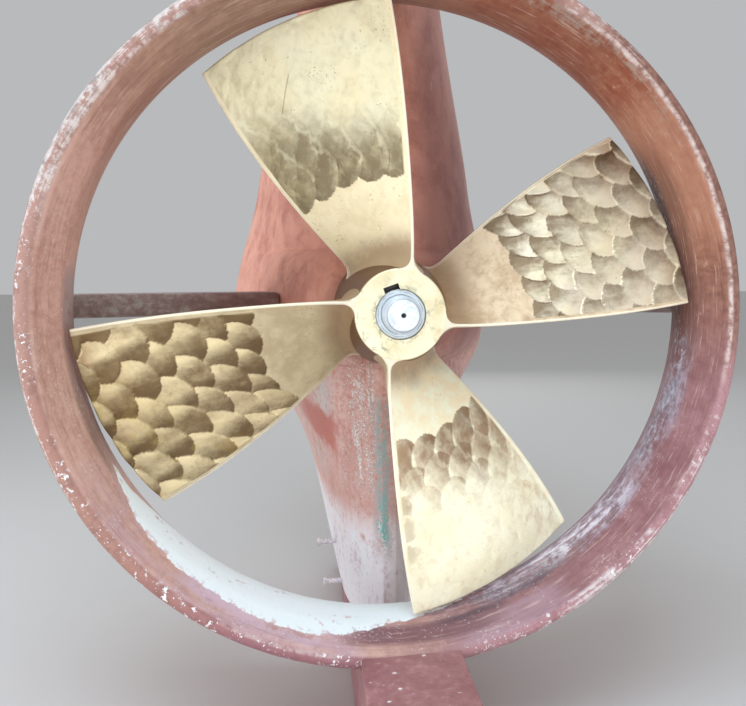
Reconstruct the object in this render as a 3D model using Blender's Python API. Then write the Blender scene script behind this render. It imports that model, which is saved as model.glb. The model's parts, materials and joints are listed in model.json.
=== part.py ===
# Ducted ship propeller: a four-bladed bronze casting on a tapered tail shaft, inside a ring nozzle.
# A stern boss and skeg carry the shaft, two struts, a head box and a sole piece carry the nozzle.
# Everything is placed from the shaft line: +Y runs forward along it and +Z is up.

import math

import bmesh
import bpy
from mathutils import Matrix, Vector

# Driving dimensions in metres, angles in degrees.
# Distances along the shaft are measured forward from the hub's aft face.

# Where the hull seat lies, above the nozzle and forward of the hub's aft face
SEAT_CLEARANCE = 0.035
SEAT_FORWARD = 0.475

# Propeller blades
PROPELLER_DIAMETER = 1.0
PITCH = 0.92
BLADE_COUNT = 4
TIP_TRAILING_ANGLE = 2.2
TRAILING_LEAN = 7.5
TRAILING_ROOT_FLARE = 8.2
ROOT_LEADING_ANGLE = 45.5
LEADING_SWEEP = 5.0
LEADING_TIP_SWEEP = 1.9
ROOT_SETBACK = 0.003
TIP_RAKE = 0.026
BLADE_ROOT_THICKNESS = 0.044
BLADE_TIP_THICKNESS = 0.012
BLADE_EDGE_THICKNESS = 0.005
ROOT_FILLET_THICKNESS = 0.010

# Hub
HUB_LENGTH = 0.185
HUB_AFT_RADIUS = 0.076
HUB_FORWARD_RADIUS = 0.104
HUB_BARREL = 0.004
HUB_EDGE_CHAMFER = 0.003
BLADE_SINK = 0.011

# Tail shaft, its taper of 1 in 12 on the diameter, and its threaded end
SHAFT_RADIUS = 0.049
TAPER_SLOPE = 1 / 24
TAPER_RECESS = 0.004
THREAD_RADIUS = 0.031
THREAD_LENGTH = 0.041
THREAD_CHAMFER = 0.006
CENTRE_HOLE_RADIUS = 0.0042
CENTRE_HOLE_DEPTH = 0.008
SHAFT_OVERHANG = 0.10

# Key between shaft and hub
KEY_ANGLE = 109.5
KEY_WIDTH = 0.026
KEY_DEPTH_IN_SHAFT = 0.008
KEY_DEPTH_IN_HUB = 0.009
KEY_SETBACK = 0.035
KEY_LENGTH = 0.12

# Nozzle, from its half-round trailing bar to its rolled nose
TIP_CLEARANCE = 0.008
NOZZLE_OVERHANG = 0.113
TAIL_BAR_DEPTH = 0.021
TAIL_BAR_HEIGHT = 0.028
DIFFUSER_RISE = 0.013
THROAT_AFT = -0.030
THROAT_FORWARD = 0.0
FLARE_RADIUS = 0.20
FLARE_ANGLE = 27.0
NOSE_FORWARD = 0.182
NOSE_RADIUS = 0.030
INNER_PLATE_THICKNESS = 0.010
OUTER_PLATE_THICKNESS = 0.008

# Stern boss and skeg
BOSS_GAP = 0.015
BOSS_RADIUS = 0.118
BOSS_HALF_HEIGHT = 0.14
SKEG_LENGTH = 0.55
SKEG_EDGE_HALF_WIDTH = 0.012
SKEG_FOOT_DROP = 0.64
SKEG_ENTRY_POWER = 0.6
SKEG_BLUNT_POWER = 5

# Stern tube and its bearing
STERN_TUBE_RADIUS = 0.070
STERN_TUBE_WALL = 0.012
STERN_TUBE_OVERHANG = 0.04
BEARING_LENGTH = 0.26
BEARING_CLEARANCE = 0.0008

# Struts, sole piece and head box
STRUT_THICKNESS = 0.042
STRUT_RISE = 0.009
STRUT_CHORD = 0.10
STRUT_SWEEP = 0.14
STRUT_REACH = 0.028
SOLE_WIDTH = 0.155
SOLE_TOP_DROP = 0.52
SOLE_DEPTH = 0.045
SOLE_OVERHANG = 0.50
SOLE_END_ROUNDING = 0.06
KEEL_DEPTH = 0.07
HEAD_BOX_WIDTH = 0.16
HEAD_BOX_AFT = -0.06
HEAD_BOX_FORWARD = 0.15

# Studs for the anode, on both sides of the skeg and above its foot
STUD_RADIUS = 0.004
STUD_LENGTH = 0.033
STUD_HEAD_RADIUS = 0.0075
STUD_HEAD_LENGTH = 0.008
STUD_SETBACK = 0.40
STUD_UPPER_RISE = 0.120
STUD_LOWER_RISE = 0.030

# Gap kept between pieces that touch
FIT_GAP = 0.0003

# Half widths of the skeg at its forward end, by height above the shaft line
SKEG_HALF_WIDTHS = (
    (-0.64, 0.086),
    (-0.52, 0.119),
    (-0.39, 0.149),
    (-0.28, 0.194),
    (-0.21, 0.252),
    (-0.14, 0.298),
    (-0.05, 0.318),
    (0.03, 0.330),
    (0.23, 0.280),
    (0.33, 0.262),
    (0.54, 0.218),
    (0.66, 0.194),
)

# How blunt the skeg's entry is, by height, from 0 for a long wedge to 1 for a full round
SKEG_BLUNTNESS = (
    (-0.64, 1.0),
    (-0.52, 0.7),
    (-0.36, 0.45),
    (-0.24, 0.2),
    (-0.10, 0.0),
    (0.02, 0.0),
    (0.20, 0.3),
    (0.66, 0.3),
)

TIP_RADIUS = PROPELLER_DIAMETER / 2
THROAT_RADIUS = TIP_RADIUS + TIP_CLEARANCE
TAIL_INNER_RADIUS = THROAT_RADIUS + DIFFUSER_RISE
TAIL_OUTER_RADIUS = TAIL_INNER_RADIUS + TAIL_BAR_HEIGHT
TAIL_BAR_FACE = TAIL_BAR_DEPTH - NOZZLE_OVERHANG
BOSS_AFT = HUB_LENGTH + BOSS_GAP
SKEG_FORWARD = BOSS_AFT + SKEG_LENGTH
STUD_DROPS = {"upper": SKEG_FOOT_DROP - STUD_UPPER_RISE, "lower": SKEG_FOOT_DROP - STUD_LOWER_RISE}

# Where the nozzle's flare ends, the centre of its rolled nose, and the slope of its outer plate
FLARE_TURN = math.radians(FLARE_ANGLE)
FLARE_END = THROAT_FORWARD + FLARE_RADIUS * math.sin(FLARE_TURN)
FLARE_END_RADIUS = THROAT_RADIUS + FLARE_RADIUS * (1 - math.cos(FLARE_TURN))
NOSE_CENTRE = NOSE_FORWARD - NOSE_RADIUS
NOSE_START = NOSE_CENTRE + NOSE_RADIUS * math.sin(FLARE_TURN)
NOSE_START_RADIUS = FLARE_END_RADIUS + (NOSE_START - FLARE_END) * math.tan(FLARE_TURN)
NOSE_CENTRE_RADIUS = NOSE_START_RADIUS + NOSE_RADIUS * math.cos(FLARE_TURN)
OUTER_RUN = NOSE_CENTRE - TAIL_BAR_FACE
OUTER_RISE = NOSE_CENTRE_RADIUS - TAIL_OUTER_RADIUS
OUTER_SLOPE = math.atan2(OUTER_RISE, OUTER_RUN) + math.asin(NOSE_RADIUS / math.hypot(OUTER_RUN, OUTER_RISE))
SEAT_HEIGHT = NOSE_CENTRE_RADIUS + NOSE_RADIUS + SEAT_CLEARANCE

TURN_STEPS = 40
SECTOR_STEPS = 12
SECTOR_NAMES = ("top", "port", "bottom", "starboard")


# Scene and parent empty

for old_object in list(bpy.data.objects):
    bpy.data.objects.remove(old_object, do_unlink=True)

shaft_line = bpy.data.objects.new("shaft_line", None)
shaft_line.location = (0.0, -SEAT_FORWARD, -SEAT_HEIGHT)
bpy.context.scene.collection.objects.link(shaft_line)


def new_material(name, colour, roughness, metallic):
    material = bpy.data.materials.new(name)
    material.use_nodes = True
    shader = material.node_tree.nodes["Principled BSDF"]
    shader.inputs["Base Color"].default_value = (*colour, 1.0)
    shader.inputs["Roughness"].default_value = roughness
    shader.inputs["Metallic"].default_value = metallic
    return material


def add_piece(name, bm, material, sharp_angle=35.0):
    """Turn a bmesh in shaft-line coordinates into a named, smooth-shaded object."""
    bmesh.ops.recalc_face_normals(bm, faces=bm.faces)
    mesh = bpy.data.meshes.new(name)
    bm.to_mesh(mesh)
    bm.free()
    mesh.materials.append(material)
    mesh.shade_smooth()
    mesh.set_sharp_from_angle(angle=math.radians(sharp_angle))
    piece = bpy.data.objects.new(name, mesh)
    piece.parent = shaft_line
    bpy.context.scene.collection.objects.link(piece)
    return piece


def add_guide(name, bm):
    """Add a solid that only cuts or joins others."""
    guide = add_piece(name, bm, casting_bronze)
    guide.hide_render = True
    guide.display_type = "WIRE"
    return guide


def combine(piece, guide, operation):
    modifier = piece.modifiers.new(f"{operation.lower()}_{guide.name}", "BOOLEAN")
    modifier.operation = operation
    modifier.object = guide
    modifier.solver = "EXACT"


# Shape builders

def turned(profile, closed, steps=TURN_STEPS):
    """Spin a profile of (distance forward, radius) points about the shaft line."""
    bm = bmesh.new()
    points = [bm.verts.new((radius, forward, 0.0)) for forward, radius in profile]
    edges = [bm.edges.new(pair) for pair in zip(points, points[1:])]
    if closed:
        edges.append(bm.edges.new((points[-1], points[0])))
    bmesh.ops.spin(bm, geom=points + edges, cent=(0, 0, 0), axis=(0, 1, 0),
                   angle=2 * math.pi, steps=steps, use_merge=True)
    bmesh.ops.remove_doubles(bm, verts=bm.verts, dist=1e-6)
    return bm


def loft(sections):
    """Skin a list of closed loops with the same number of points, and cap both ends."""
    bm = bmesh.new()
    loops = [[bm.verts.new(point) for point in section] for section in sections]
    for lower, upper in zip(loops, loops[1:]):
        for index in range(len(lower)):
            following = (index + 1) % len(lower)
            bm.faces.new((lower[index], lower[following], upper[following], upper[index]))
    bm.faces.new(loops[0])
    bm.faces.new(loops[-1])
    return bm


def around(forward, radius, angle):
    """A point at a radius and an angle seen from astern, from starboard towards the top."""
    return Vector((radius * math.cos(angle), forward, radius * math.sin(angle)))


def ring_sector(profile, start, sweep):
    """Sweep a closed (forward, radius) outline through part of a turn."""
    angles = [start + sweep * step / SECTOR_STEPS for step in range(SECTOR_STEPS + 1)]
    return loft([[around(forward, radius, angle) for forward, radius in profile] for angle in angles])


def extruded(outline, depth, to_point):
    """Extrude a flat outline to both sides of its plane."""
    return loft([[to_point(*point, side * depth / 2) for point in outline] for side in (-1, 1)])


def faired(stations, position):
    """Read a smooth curve through (position, value) stations."""
    index = 0
    while index < len(stations) - 2 and position > stations[index + 1][0]:
        index += 1
    (low, low_value), (high, high_value) = stations[index:index + 2]

    def slope_at(station):
        before = stations[max(station - 1, 0)]
        after = stations[min(station + 1, len(stations) - 1)]
        return (after[1] - before[1]) / (after[0] - before[0])

    share = (position - low) / (high - low)
    start_weight = (1 + 2 * share) * (1 - share) ** 2
    slopes = slope_at(index) * share * (1 - share) ** 2 - slope_at(index + 1) * share ** 2 * (1 - share)
    return low_value * start_weight + high_value * (1 - start_weight) + slopes * (high - low)


# Materials

casting_bronze = new_material("cast_bronze", (0.72, 0.62, 0.36), 0.32, 1.0)
shaft_steel = new_material("ground_steel", (0.78, 0.79, 0.80), 0.22, 1.0)
key_steel = new_material("key_steel", (0.45, 0.45, 0.46), 0.4, 1.0)
nozzle_paint = new_material("nozzle_paint", (0.36, 0.15, 0.11), 0.6, 0.0)
skeg_paint = new_material("skeg_paint", (0.45, 0.19, 0.14), 0.62, 0.0)
stud_steel = new_material("stud_steel", (0.66, 0.66, 0.68), 0.5, 0.2)
bearing_bronze = new_material("bearing_bronze", (0.55, 0.42, 0.20), 0.4, 1.0)


# Propeller

def blade_section_angles(share):
    """Trailing and leading edge angles at a share of the way from root to tip."""
    inward = 1 - share
    trailing = TIP_TRAILING_ANGLE - TRAILING_LEAN * inward - TRAILING_ROOT_FLARE * inward ** 5
    leading = ROOT_LEADING_ANGLE - LEADING_SWEEP * share - LEADING_TIP_SWEEP * share ** 3
    return math.radians(trailing), math.radians(leading)


def blade_thickness(share):
    inward = 1 - share
    body = BLADE_TIP_THICKNESS + (BLADE_ROOT_THICKNESS - BLADE_TIP_THICKNESS) * inward ** 1.3
    return body + ROOT_FILLET_THICKNESS * inward ** 12


def blade_section(share, turn, columns=8):
    """Loop of points round one blade section: the flat face, then the rounded back."""
    root_radius = HUB_AFT_RADIUS - BLADE_SINK
    radius = root_radius + (TIP_RADIUS - root_radius) * share
    trailing, leading = blade_section_angles(share)
    helix = PITCH / (2 * math.pi)
    pitch_angle = math.atan2(helix, radius)
    setback = ROOT_SETBACK - TIP_RAKE * share
    face = []
    back = []
    for column in range(columns + 1):
        across = column / columns
        angle = trailing + (leading - trailing) * across
        forward = setback + helix * (angle - trailing)
        swell = math.sin(math.pi * across) ** 0.7 if 0 < column < columns else 0.0
        thickness = BLADE_EDGE_THICKNESS + (blade_thickness(share) - BLADE_EDGE_THICKNESS) * swell
        back_angle = angle - thickness * math.sin(pitch_angle) / radius
        face.append(around(forward, radius, turn + angle))
        back.append(around(forward + thickness * math.cos(pitch_angle), radius, turn + back_angle))
    return face + back[::-1]


def build_blades():
    shares = (0.0, 0.06, 0.13, 0.23, 0.36, 0.52, 0.68, 0.84, 1.0)
    blades = bmesh.new()
    for number in range(BLADE_COUNT):
        turn = 2 * math.pi * number / BLADE_COUNT
        blade = loft([blade_section(share, turn) for share in shares])
        bmesh.ops.recalc_face_normals(blade, faces=blade.faces)
        scratch = bpy.data.meshes.new("blade")
        blade.to_mesh(scratch)
        blade.free()
        blades.from_mesh(scratch)
        bpy.data.meshes.remove(scratch)
    return blades


def taper_radius(forward):
    return SHAFT_RADIUS - max(HUB_LENGTH - forward, 0.0) * TAPER_SLOPE


def hub_profile(steps=6):
    outer = []
    for step in range(steps + 1):
        share = step / steps
        radius = HUB_AFT_RADIUS + (HUB_FORWARD_RADIUS - HUB_AFT_RADIUS) * share
        radius += HUB_BARREL * math.sin(math.pi * share)
        outer.append((HUB_LENGTH * share, radius))
    aft_radius = outer[0][1]
    forward_radius = outer[-1][1]
    outer[0] = (HUB_EDGE_CHAMFER, aft_radius)
    outer[-1] = (HUB_LENGTH - HUB_EDGE_CHAMFER, forward_radius)
    aft_face = [(0.0, 0.0), (0.0, aft_radius - HUB_EDGE_CHAMFER)]
    forward_face = [(HUB_LENGTH, forward_radius - HUB_EDGE_CHAMFER), (HUB_LENGTH, 0.0)]
    return aft_face + outer + forward_face


def tapered_bar(aft, forward, inner_depth, outer_depth, width):
    """A bar along the taper, sunk to one side of its surface and standing out on the other."""
    angle = math.radians(KEY_ANGLE)
    outward = around(0.0, 1.0, angle)
    sideways = around(0.0, 1.0, angle + math.pi / 2)
    sections = []
    for place in (aft, forward):
        surface = SHAFT_RADIUS - (HUB_LENGTH - place) * TAPER_SLOPE
        corners = ((-1, -inner_depth), (1, -inner_depth), (1, outer_depth), (-1, outer_depth))
        sections.append([
            Vector((0.0, place, 0.0)) + outward * (surface + height) + sideways * (side * width / 2)
            for side, height in corners
        ])
    return loft(sections)


propeller = add_piece("propeller", turned(hub_profile(), closed=False), casting_bronze)
blade_guide = add_guide("blade_guide", build_blades())
combine(propeller, blade_guide, "UNION")
bore_guide = add_guide("bore_guide", turned([
    (-HUB_LENGTH, 0.0),
    (-HUB_LENGTH, taper_radius(-HUB_LENGTH) + FIT_GAP),
    (2 * HUB_LENGTH, taper_radius(-HUB_LENGTH) + 3 * HUB_LENGTH * TAPER_SLOPE + FIT_GAP),
    (2 * HUB_LENGTH, 0.0),
], closed=False))
hub_keyway = add_guide("hub_keyway", tapered_bar(
    -HUB_LENGTH, 2 * HUB_LENGTH, KEY_DEPTH_IN_SHAFT, KEY_DEPTH_IN_HUB, KEY_WIDTH))
combine(propeller, hub_keyway, "DIFFERENCE")
combine(propeller, bore_guide, "DIFFERENCE")


# Tail shaft and key

def shaft_profile():
    shaft_end = SKEG_FORWARD + SHAFT_OVERHANG
    thread_end = TAPER_RECESS - THREAD_LENGTH
    return [
        (thread_end + CENTRE_HOLE_DEPTH, 0.0),
        (thread_end, CENTRE_HOLE_RADIUS),
        (thread_end, THREAD_RADIUS - THREAD_CHAMFER),
        (thread_end + THREAD_CHAMFER, THREAD_RADIUS),
        (TAPER_RECESS, THREAD_RADIUS),
        (TAPER_RECESS, taper_radius(TAPER_RECESS)),
        (HUB_LENGTH, SHAFT_RADIUS),
        (shaft_end, SHAFT_RADIUS),
        (shaft_end, 0.0),
    ]


key_forward = KEY_SETBACK + KEY_LENGTH
tail_shaft = add_piece("tail_shaft", turned(shaft_profile(), closed=False), shaft_steel)
shaft_keyway = add_guide("shaft_keyway", tapered_bar(
    KEY_SETBACK, key_forward, KEY_DEPTH_IN_SHAFT, KEY_DEPTH_IN_HUB, KEY_WIDTH))
combine(tail_shaft, shaft_keyway, "DIFFERENCE")
add_piece("shaft_key", tapered_bar(
    KEY_SETBACK + FIT_GAP, key_forward - FIT_GAP, KEY_DEPTH_IN_SHAFT - FIT_GAP,
    KEY_DEPTH_IN_HUB - FIT_GAP, KEY_WIDTH - 2 * FIT_GAP), key_steel)


# Nozzle

def nose_point(radius, angle):
    return (NOSE_CENTRE + radius * math.cos(angle), NOSE_CENTRE_RADIUS + radius * math.sin(angle))


def tail_bar_profile(steps=6):
    middle = TAIL_INNER_RADIUS + TAIL_BAR_HEIGHT / 2
    turns = [math.pi * step / steps for step in range(steps + 1)]
    return [(TAIL_BAR_FACE - TAIL_BAR_DEPTH * math.sin(turn),
             middle - TAIL_BAR_HEIGHT / 2 * math.cos(turn)) for turn in turns]


def inner_plate_profile(steps=4):
    wet = [(TAIL_BAR_FACE + FIT_GAP, TAIL_INNER_RADIUS), (THROAT_AFT, THROAT_RADIUS)]
    for step in range(steps + 1):
        angle = FLARE_TURN * step / steps
        wet.append((THROAT_FORWARD + FLARE_RADIUS * math.sin(angle),
                    THROAT_RADIUS + FLARE_RADIUS * (1 - math.cos(angle))))
    wet.append((NOSE_START, NOSE_START_RADIUS))
    dry = []
    for index, (forward, radius) in enumerate(wet):
        before = wet[max(index - 1, 0)]
        after = wet[min(index + 1, len(wet) - 1)]
        slope = math.atan2(after[1] - before[1], after[0] - before[0])
        dry.append((forward - INNER_PLATE_THICKNESS * math.sin(slope),
                    radius + INNER_PLATE_THICKNESS * math.cos(slope)))
    dry[0] = (wet[0][0], dry[0][1])
    return wet + dry[::-1]


def nose_profile(steps=8):
    start = FLARE_TURN - math.pi / 2 + FIT_GAP / NOSE_RADIUS
    end = OUTER_SLOPE + math.pi / 2 - FIT_GAP / NOSE_RADIUS
    turns = [start + (end - start) * step / steps for step in range(steps + 1)]
    outside = [nose_point(NOSE_RADIUS, turn) for turn in turns]
    inside = [nose_point(NOSE_RADIUS - OUTER_PLATE_THICKNESS, turn) for turn in turns]
    return outside + inside[::-1]


def outer_plate_profile():
    slope = math.tan(OUTER_SLOPE)
    end = nose_point(NOSE_RADIUS, OUTER_SLOPE + math.pi / 2)
    inner_end = nose_point(NOSE_RADIUS - OUTER_PLATE_THICKNESS, OUTER_SLOPE + math.pi / 2)
    start = TAIL_BAR_FACE + FIT_GAP
    return [(start, end[1] - (end[0] - start) * slope), end, inner_end,
            (start, inner_end[1] - (inner_end[0] - start) * slope)]


NOZZLE_PROFILES = {
    "nozzle_tail_bar": tail_bar_profile(),
    "nozzle_inner_plate": inner_plate_profile(),
    "nozzle_nose": nose_profile(),
    "nozzle_outer_plate": outer_plate_profile(),
}

sector_sweep = 2 * math.pi / len(SECTOR_NAMES)
joint_angle = FIT_GAP / THROAT_RADIUS
for ring_name, ring_profile in NOZZLE_PROFILES.items():
    for number, sector_name in enumerate(SECTOR_NAMES):
        sector_start = math.pi / 2 + (number - 0.5) * sector_sweep + joint_angle / 2
        add_piece(f"{ring_name}_{sector_name}",
                  ring_sector(ring_profile, sector_start, sector_sweep - joint_angle), nozzle_paint)

# Outside of the nozzle, from the tail bar's crown round the nose, that cuts what is fitted round it
envelope_tail = [(forward - FIT_GAP, radius + FIT_GAP) for forward, radius in tail_bar_profile()[3:]]
envelope_nose = [nose_point(NOSE_RADIUS + FIT_GAP, math.radians(angle)) for angle in range(105, -60, -15)]
envelope = turned([(envelope_tail[0][0], 0.0)] + envelope_tail + envelope_nose
                  + [(envelope_nose[-1][0], 0.0)], closed=False, steps=SECTOR_STEPS * len(SECTOR_NAMES))
nozzle_envelope = add_guide("nozzle_envelope", envelope)


# Stern boss and skeg, one faired form that is split level above and below the boss

def skeg_half_width(forward, height):
    """Half width of the faired stern at a distance forward and a height above the shaft."""
    boss_square = BOSS_RADIUS ** 2 - height ** 2
    aft = max(math.sqrt(boss_square) if boss_square > 0 else 0.0, SKEG_EDGE_HALF_WIDTH)
    share = min(max((forward - BOSS_AFT) / SKEG_LENGTH, 0.0), 1.0)
    wedge = share ** SKEG_ENTRY_POWER
    blunt = 1 - (1 - share) ** SKEG_BLUNT_POWER
    fullness = wedge + (blunt - wedge) * faired(SKEG_BLUNTNESS, height)
    return aft + (faired(SKEG_HALF_WIDTHS, height) - aft) * fullness


skeg_shares = (0.0, 0.02, 0.055, 0.1, 0.16, 0.25, 0.48, 0.7, 1.0)
skeg_stations = sorted([BOSS_AFT + SKEG_LENGTH * share for share in skeg_shares] + [STUD_SETBACK])


def skeg_section(height):
    port = [(-skeg_half_width(place, height), place, height) for place in skeg_stations]
    starboard = [(-x, place, height) for x, place, z in reversed(port)]
    return port + starboard


def skeg_levels(low, high, count):
    return [low + (high - low) * level / count for level in range(count + 1)]


lower_levels = skeg_levels(-SKEG_FOOT_DROP, -BOSS_HALF_HEIGHT - FIT_GAP, 8)
lower_levels = sorted(lower_levels + [-drop for drop in STUD_DROPS.values()])
skeg_lower = add_piece("skeg_lower", loft([skeg_section(height) for height in lower_levels]), skeg_paint)
stern_boss = add_piece("stern_boss", loft([
    skeg_section(height) for height in skeg_levels(-BOSS_HALF_HEIGHT, BOSS_HALF_HEIGHT, 10)
]), skeg_paint)
skeg_upper = add_piece("skeg_upper", loft([
    skeg_section(height) for height in skeg_levels(BOSS_HALF_HEIGHT + FIT_GAP, SEAT_HEIGHT, 6)
]), skeg_paint)

boss_bore = add_guide("boss_bore", turned([
    (0.0, 0.0),
    (0.0, STERN_TUBE_RADIUS + FIT_GAP),
    (SKEG_FORWARD + HUB_LENGTH, STERN_TUBE_RADIUS + FIT_GAP),
    (SKEG_FORWARD + HUB_LENGTH, 0.0),
], closed=False))
combine(stern_boss, boss_bore, "DIFFERENCE")


# Stern tube with its bearing at the aft end

def sleeve_profile(aft, forward, inner, outer):
    return [(aft, inner), (aft, outer), (forward, outer), (forward, inner)]


tube_bore = STERN_TUBE_RADIUS - STERN_TUBE_WALL
add_piece("stern_tube", turned(sleeve_profile(
    BOSS_AFT, SKEG_FORWARD + STERN_TUBE_OVERHANG, tube_bore, STERN_TUBE_RADIUS), closed=True), skeg_paint)
add_piece("stern_bearing", turned(sleeve_profile(
    BOSS_AFT, BOSS_AFT + BEARING_LENGTH, SHAFT_RADIUS + BEARING_CLEARANCE, tube_bore - FIT_GAP),
    closed=True), bearing_bronze)


# Struts from the boss out to the nozzle's nose

def strut_outline():
    """Half of the plan of a strut, as (distance from the centre plane, forward) points."""
    seat = NOSE_FORWARD + FIT_GAP
    tip = NOSE_CENTRE_RADIUS + STRUT_REACH
    bend = NOSE_CENTRE_RADIUS - NOSE_RADIUS
    root_aft = seat + STRUT_SWEEP
    root_forward = root_aft + STRUT_CHORD
    heights = [STRUT_RISE + side * STRUT_THICKNESS / 2 for side in (-1, 0, 1)]
    stations = [place for place in skeg_stations if root_aft < place < root_forward]
    root = [(max(skeg_half_width(place, height) for height in heights) + FIT_GAP, place)
            for place in [root_aft] + stations + [root_forward]]
    return root + [(tip, seat + STRUT_CHORD), (tip, seat), (bend, seat)]


for side_name, side in (("port", -1), ("starboard", 1)):
    add_piece(f"strut_{side_name}", extruded(
        strut_outline(), STRUT_THICKNESS,
        lambda across, forward, rise: Vector((side * across, forward, STRUT_RISE + rise))), nozzle_paint)


# Sole piece under the nozzle and skeg, running aft to a rounded end

def sole_outline():
    foot = -SKEG_FOOT_DROP - FIT_GAP
    sole_bottom = -SOLE_TOP_DROP - SOLE_DEPTH
    return [
        (-SOLE_OVERHANG, sole_bottom),
        (-SOLE_OVERHANG, -SOLE_TOP_DROP),
        (TAIL_BAR_FACE, -SOLE_TOP_DROP),
        (NOSE_CENTRE, -NOSE_CENTRE_RADIUS),
        (NOSE_FORWARD, foot),
        (SKEG_FORWARD, foot),
        (SKEG_FORWARD, foot - KEEL_DEPTH),
        (THROAT_FORWARD, foot - KEEL_DEPTH),
        (2 * TAIL_BAR_FACE, sole_bottom),
    ]


sole_mesh = extruded(sole_outline(), SOLE_WIDTH, lambda forward, height, across: Vector((across, forward, height)))
end_edges = [edge for edge in sole_mesh.edges
             if all(abs(vert.co.y + SOLE_OVERHANG) < 1e-6 for vert in edge.verts)
             and abs(edge.verts[0].co.x - edge.verts[1].co.x) < 1e-6]
bmesh.ops.bevel(sole_mesh, geom=end_edges, offset=SOLE_END_ROUNDING, segments=5, profile=0.5,
                affect="EDGES")
sole_piece = add_piece("sole_piece", sole_mesh, nozzle_paint)
combine(sole_piece, nozzle_envelope, "DIFFERENCE")


# Head box between the nozzle and the hull

head_outline = [
    (HEAD_BOX_AFT, THROAT_RADIUS),
    (HEAD_BOX_AFT, SEAT_HEIGHT),
    (HEAD_BOX_FORWARD, SEAT_HEIGHT),
    (HEAD_BOX_FORWARD, THROAT_RADIUS),
]
head_box = add_piece("head_box", extruded(
    head_outline, HEAD_BOX_WIDTH, lambda forward, height, across: Vector((across, forward, height))),
    nozzle_paint)
combine(head_box, nozzle_envelope, "DIFFERENCE")


# Anode studs, standing out of both sides of the skeg

def stud_mesh(side, drop):
    root = skeg_half_width(STUD_SETBACK + STUD_RADIUS, STUD_RADIUS - drop) + FIT_GAP
    profile = [
        (root, 0.0),
        (root, STUD_RADIUS),
        (root + STUD_LENGTH, STUD_RADIUS),
        (root + STUD_LENGTH, STUD_HEAD_RADIUS),
        (root + STUD_LENGTH + STUD_HEAD_LENGTH, STUD_HEAD_RADIUS),
        (root + STUD_LENGTH + STUD_HEAD_LENGTH, 0.0),
    ]
    bm = turned(profile, closed=False, steps=12)
    turn = Matrix.Rotation(math.radians(-90 * side), 4, "Z")
    place = Matrix.Translation((0.0, STUD_SETBACK, -drop))
    bm.transform(place @ turn)
    return bm


for side_name, side in (("port", -1), ("starboard", 1)):
    for level_name, drop in STUD_DROPS.items():
        add_piece(f"anode_stud_{side_name}_{level_name}", stud_mesh(side, drop), stud_steel)
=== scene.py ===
import json
import math

import bpy
import numpy as np
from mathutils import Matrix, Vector


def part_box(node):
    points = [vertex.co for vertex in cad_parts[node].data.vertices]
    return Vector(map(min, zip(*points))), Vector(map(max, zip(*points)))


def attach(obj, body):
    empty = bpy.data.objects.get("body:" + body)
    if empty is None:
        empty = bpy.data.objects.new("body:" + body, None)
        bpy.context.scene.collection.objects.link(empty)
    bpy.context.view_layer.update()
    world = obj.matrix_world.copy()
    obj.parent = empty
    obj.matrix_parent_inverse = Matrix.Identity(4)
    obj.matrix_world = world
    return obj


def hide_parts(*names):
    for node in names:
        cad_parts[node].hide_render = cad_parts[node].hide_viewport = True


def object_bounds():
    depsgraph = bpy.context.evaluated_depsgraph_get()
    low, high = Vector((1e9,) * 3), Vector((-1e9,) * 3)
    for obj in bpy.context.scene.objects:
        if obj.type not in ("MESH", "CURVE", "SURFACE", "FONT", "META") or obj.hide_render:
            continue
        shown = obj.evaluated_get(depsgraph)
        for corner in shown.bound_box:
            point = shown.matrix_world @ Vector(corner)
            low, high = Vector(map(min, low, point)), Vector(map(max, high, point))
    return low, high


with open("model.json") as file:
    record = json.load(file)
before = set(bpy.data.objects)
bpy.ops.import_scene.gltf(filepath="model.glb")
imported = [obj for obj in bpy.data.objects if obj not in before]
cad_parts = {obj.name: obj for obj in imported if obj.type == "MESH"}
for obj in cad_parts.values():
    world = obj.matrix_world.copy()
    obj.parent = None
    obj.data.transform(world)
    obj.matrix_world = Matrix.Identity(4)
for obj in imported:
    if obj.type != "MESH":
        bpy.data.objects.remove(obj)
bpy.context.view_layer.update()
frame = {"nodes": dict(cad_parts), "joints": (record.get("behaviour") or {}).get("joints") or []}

# Where things are measured from: the middle of the hub's aft face, on the shaft line.
# Y runs forward along the shaft, X to starboard and Z up, as in the solids.

HUB_FACE = Vector(frame["joints"][0]["pos_m"])
STERN = "stern"
TURNING = "propeller_shaft"


# Camera, floor and light
# The camera stands astern, a little to port and above the shaft line, and looks forward and
# down to starboard. Wide soft panels stand behind and round it, for an even outdoor light.

CAMERA_PLACE = Vector((-0.1490, -1.1986, 0.0653))
CAMERA_DIP = 0.0746
CAMERA_TURN = -0.1871
COOL_TINT = (0.74, 0.89, 1.0)

camera_data = bpy.data.cameras.new("camera")
camera_data.sensor_width = 36.0
camera_data.lens = 35.43
camera_data.shift_x = -0.100
camera_data.shift_y = -0.0314
camera_data.clip_end = 200.0
camera = bpy.data.objects.new("camera", camera_data)
camera.location = HUB_FACE + CAMERA_PLACE
camera.rotation_euler = (math.radians(90) - CAMERA_DIP, 0.0, CAMERA_TURN)
bpy.context.scene.collection.objects.link(camera)
bpy.context.scene.camera = camera
bpy.context.scene.view_settings.view_transform = "Standard"

floor_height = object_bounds()[0][2] - 0.004
bpy.ops.mesh.primitive_plane_add(size=60.0, location=(0.0, 0.0, floor_height))
floor = bpy.context.object
floor.name = "floor"
floor_finish = bpy.data.materials.new("floor")
floor_finish.use_nodes = True
floor_shader = floor_finish.node_tree.nodes["Principled BSDF"]
floor_shader.inputs["Base Color"].default_value = (0.62, 0.61, 0.60, 1.0)
floor_shader.inputs["Roughness"].default_value = 0.9
floor.data.materials.append(floor_finish)

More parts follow.
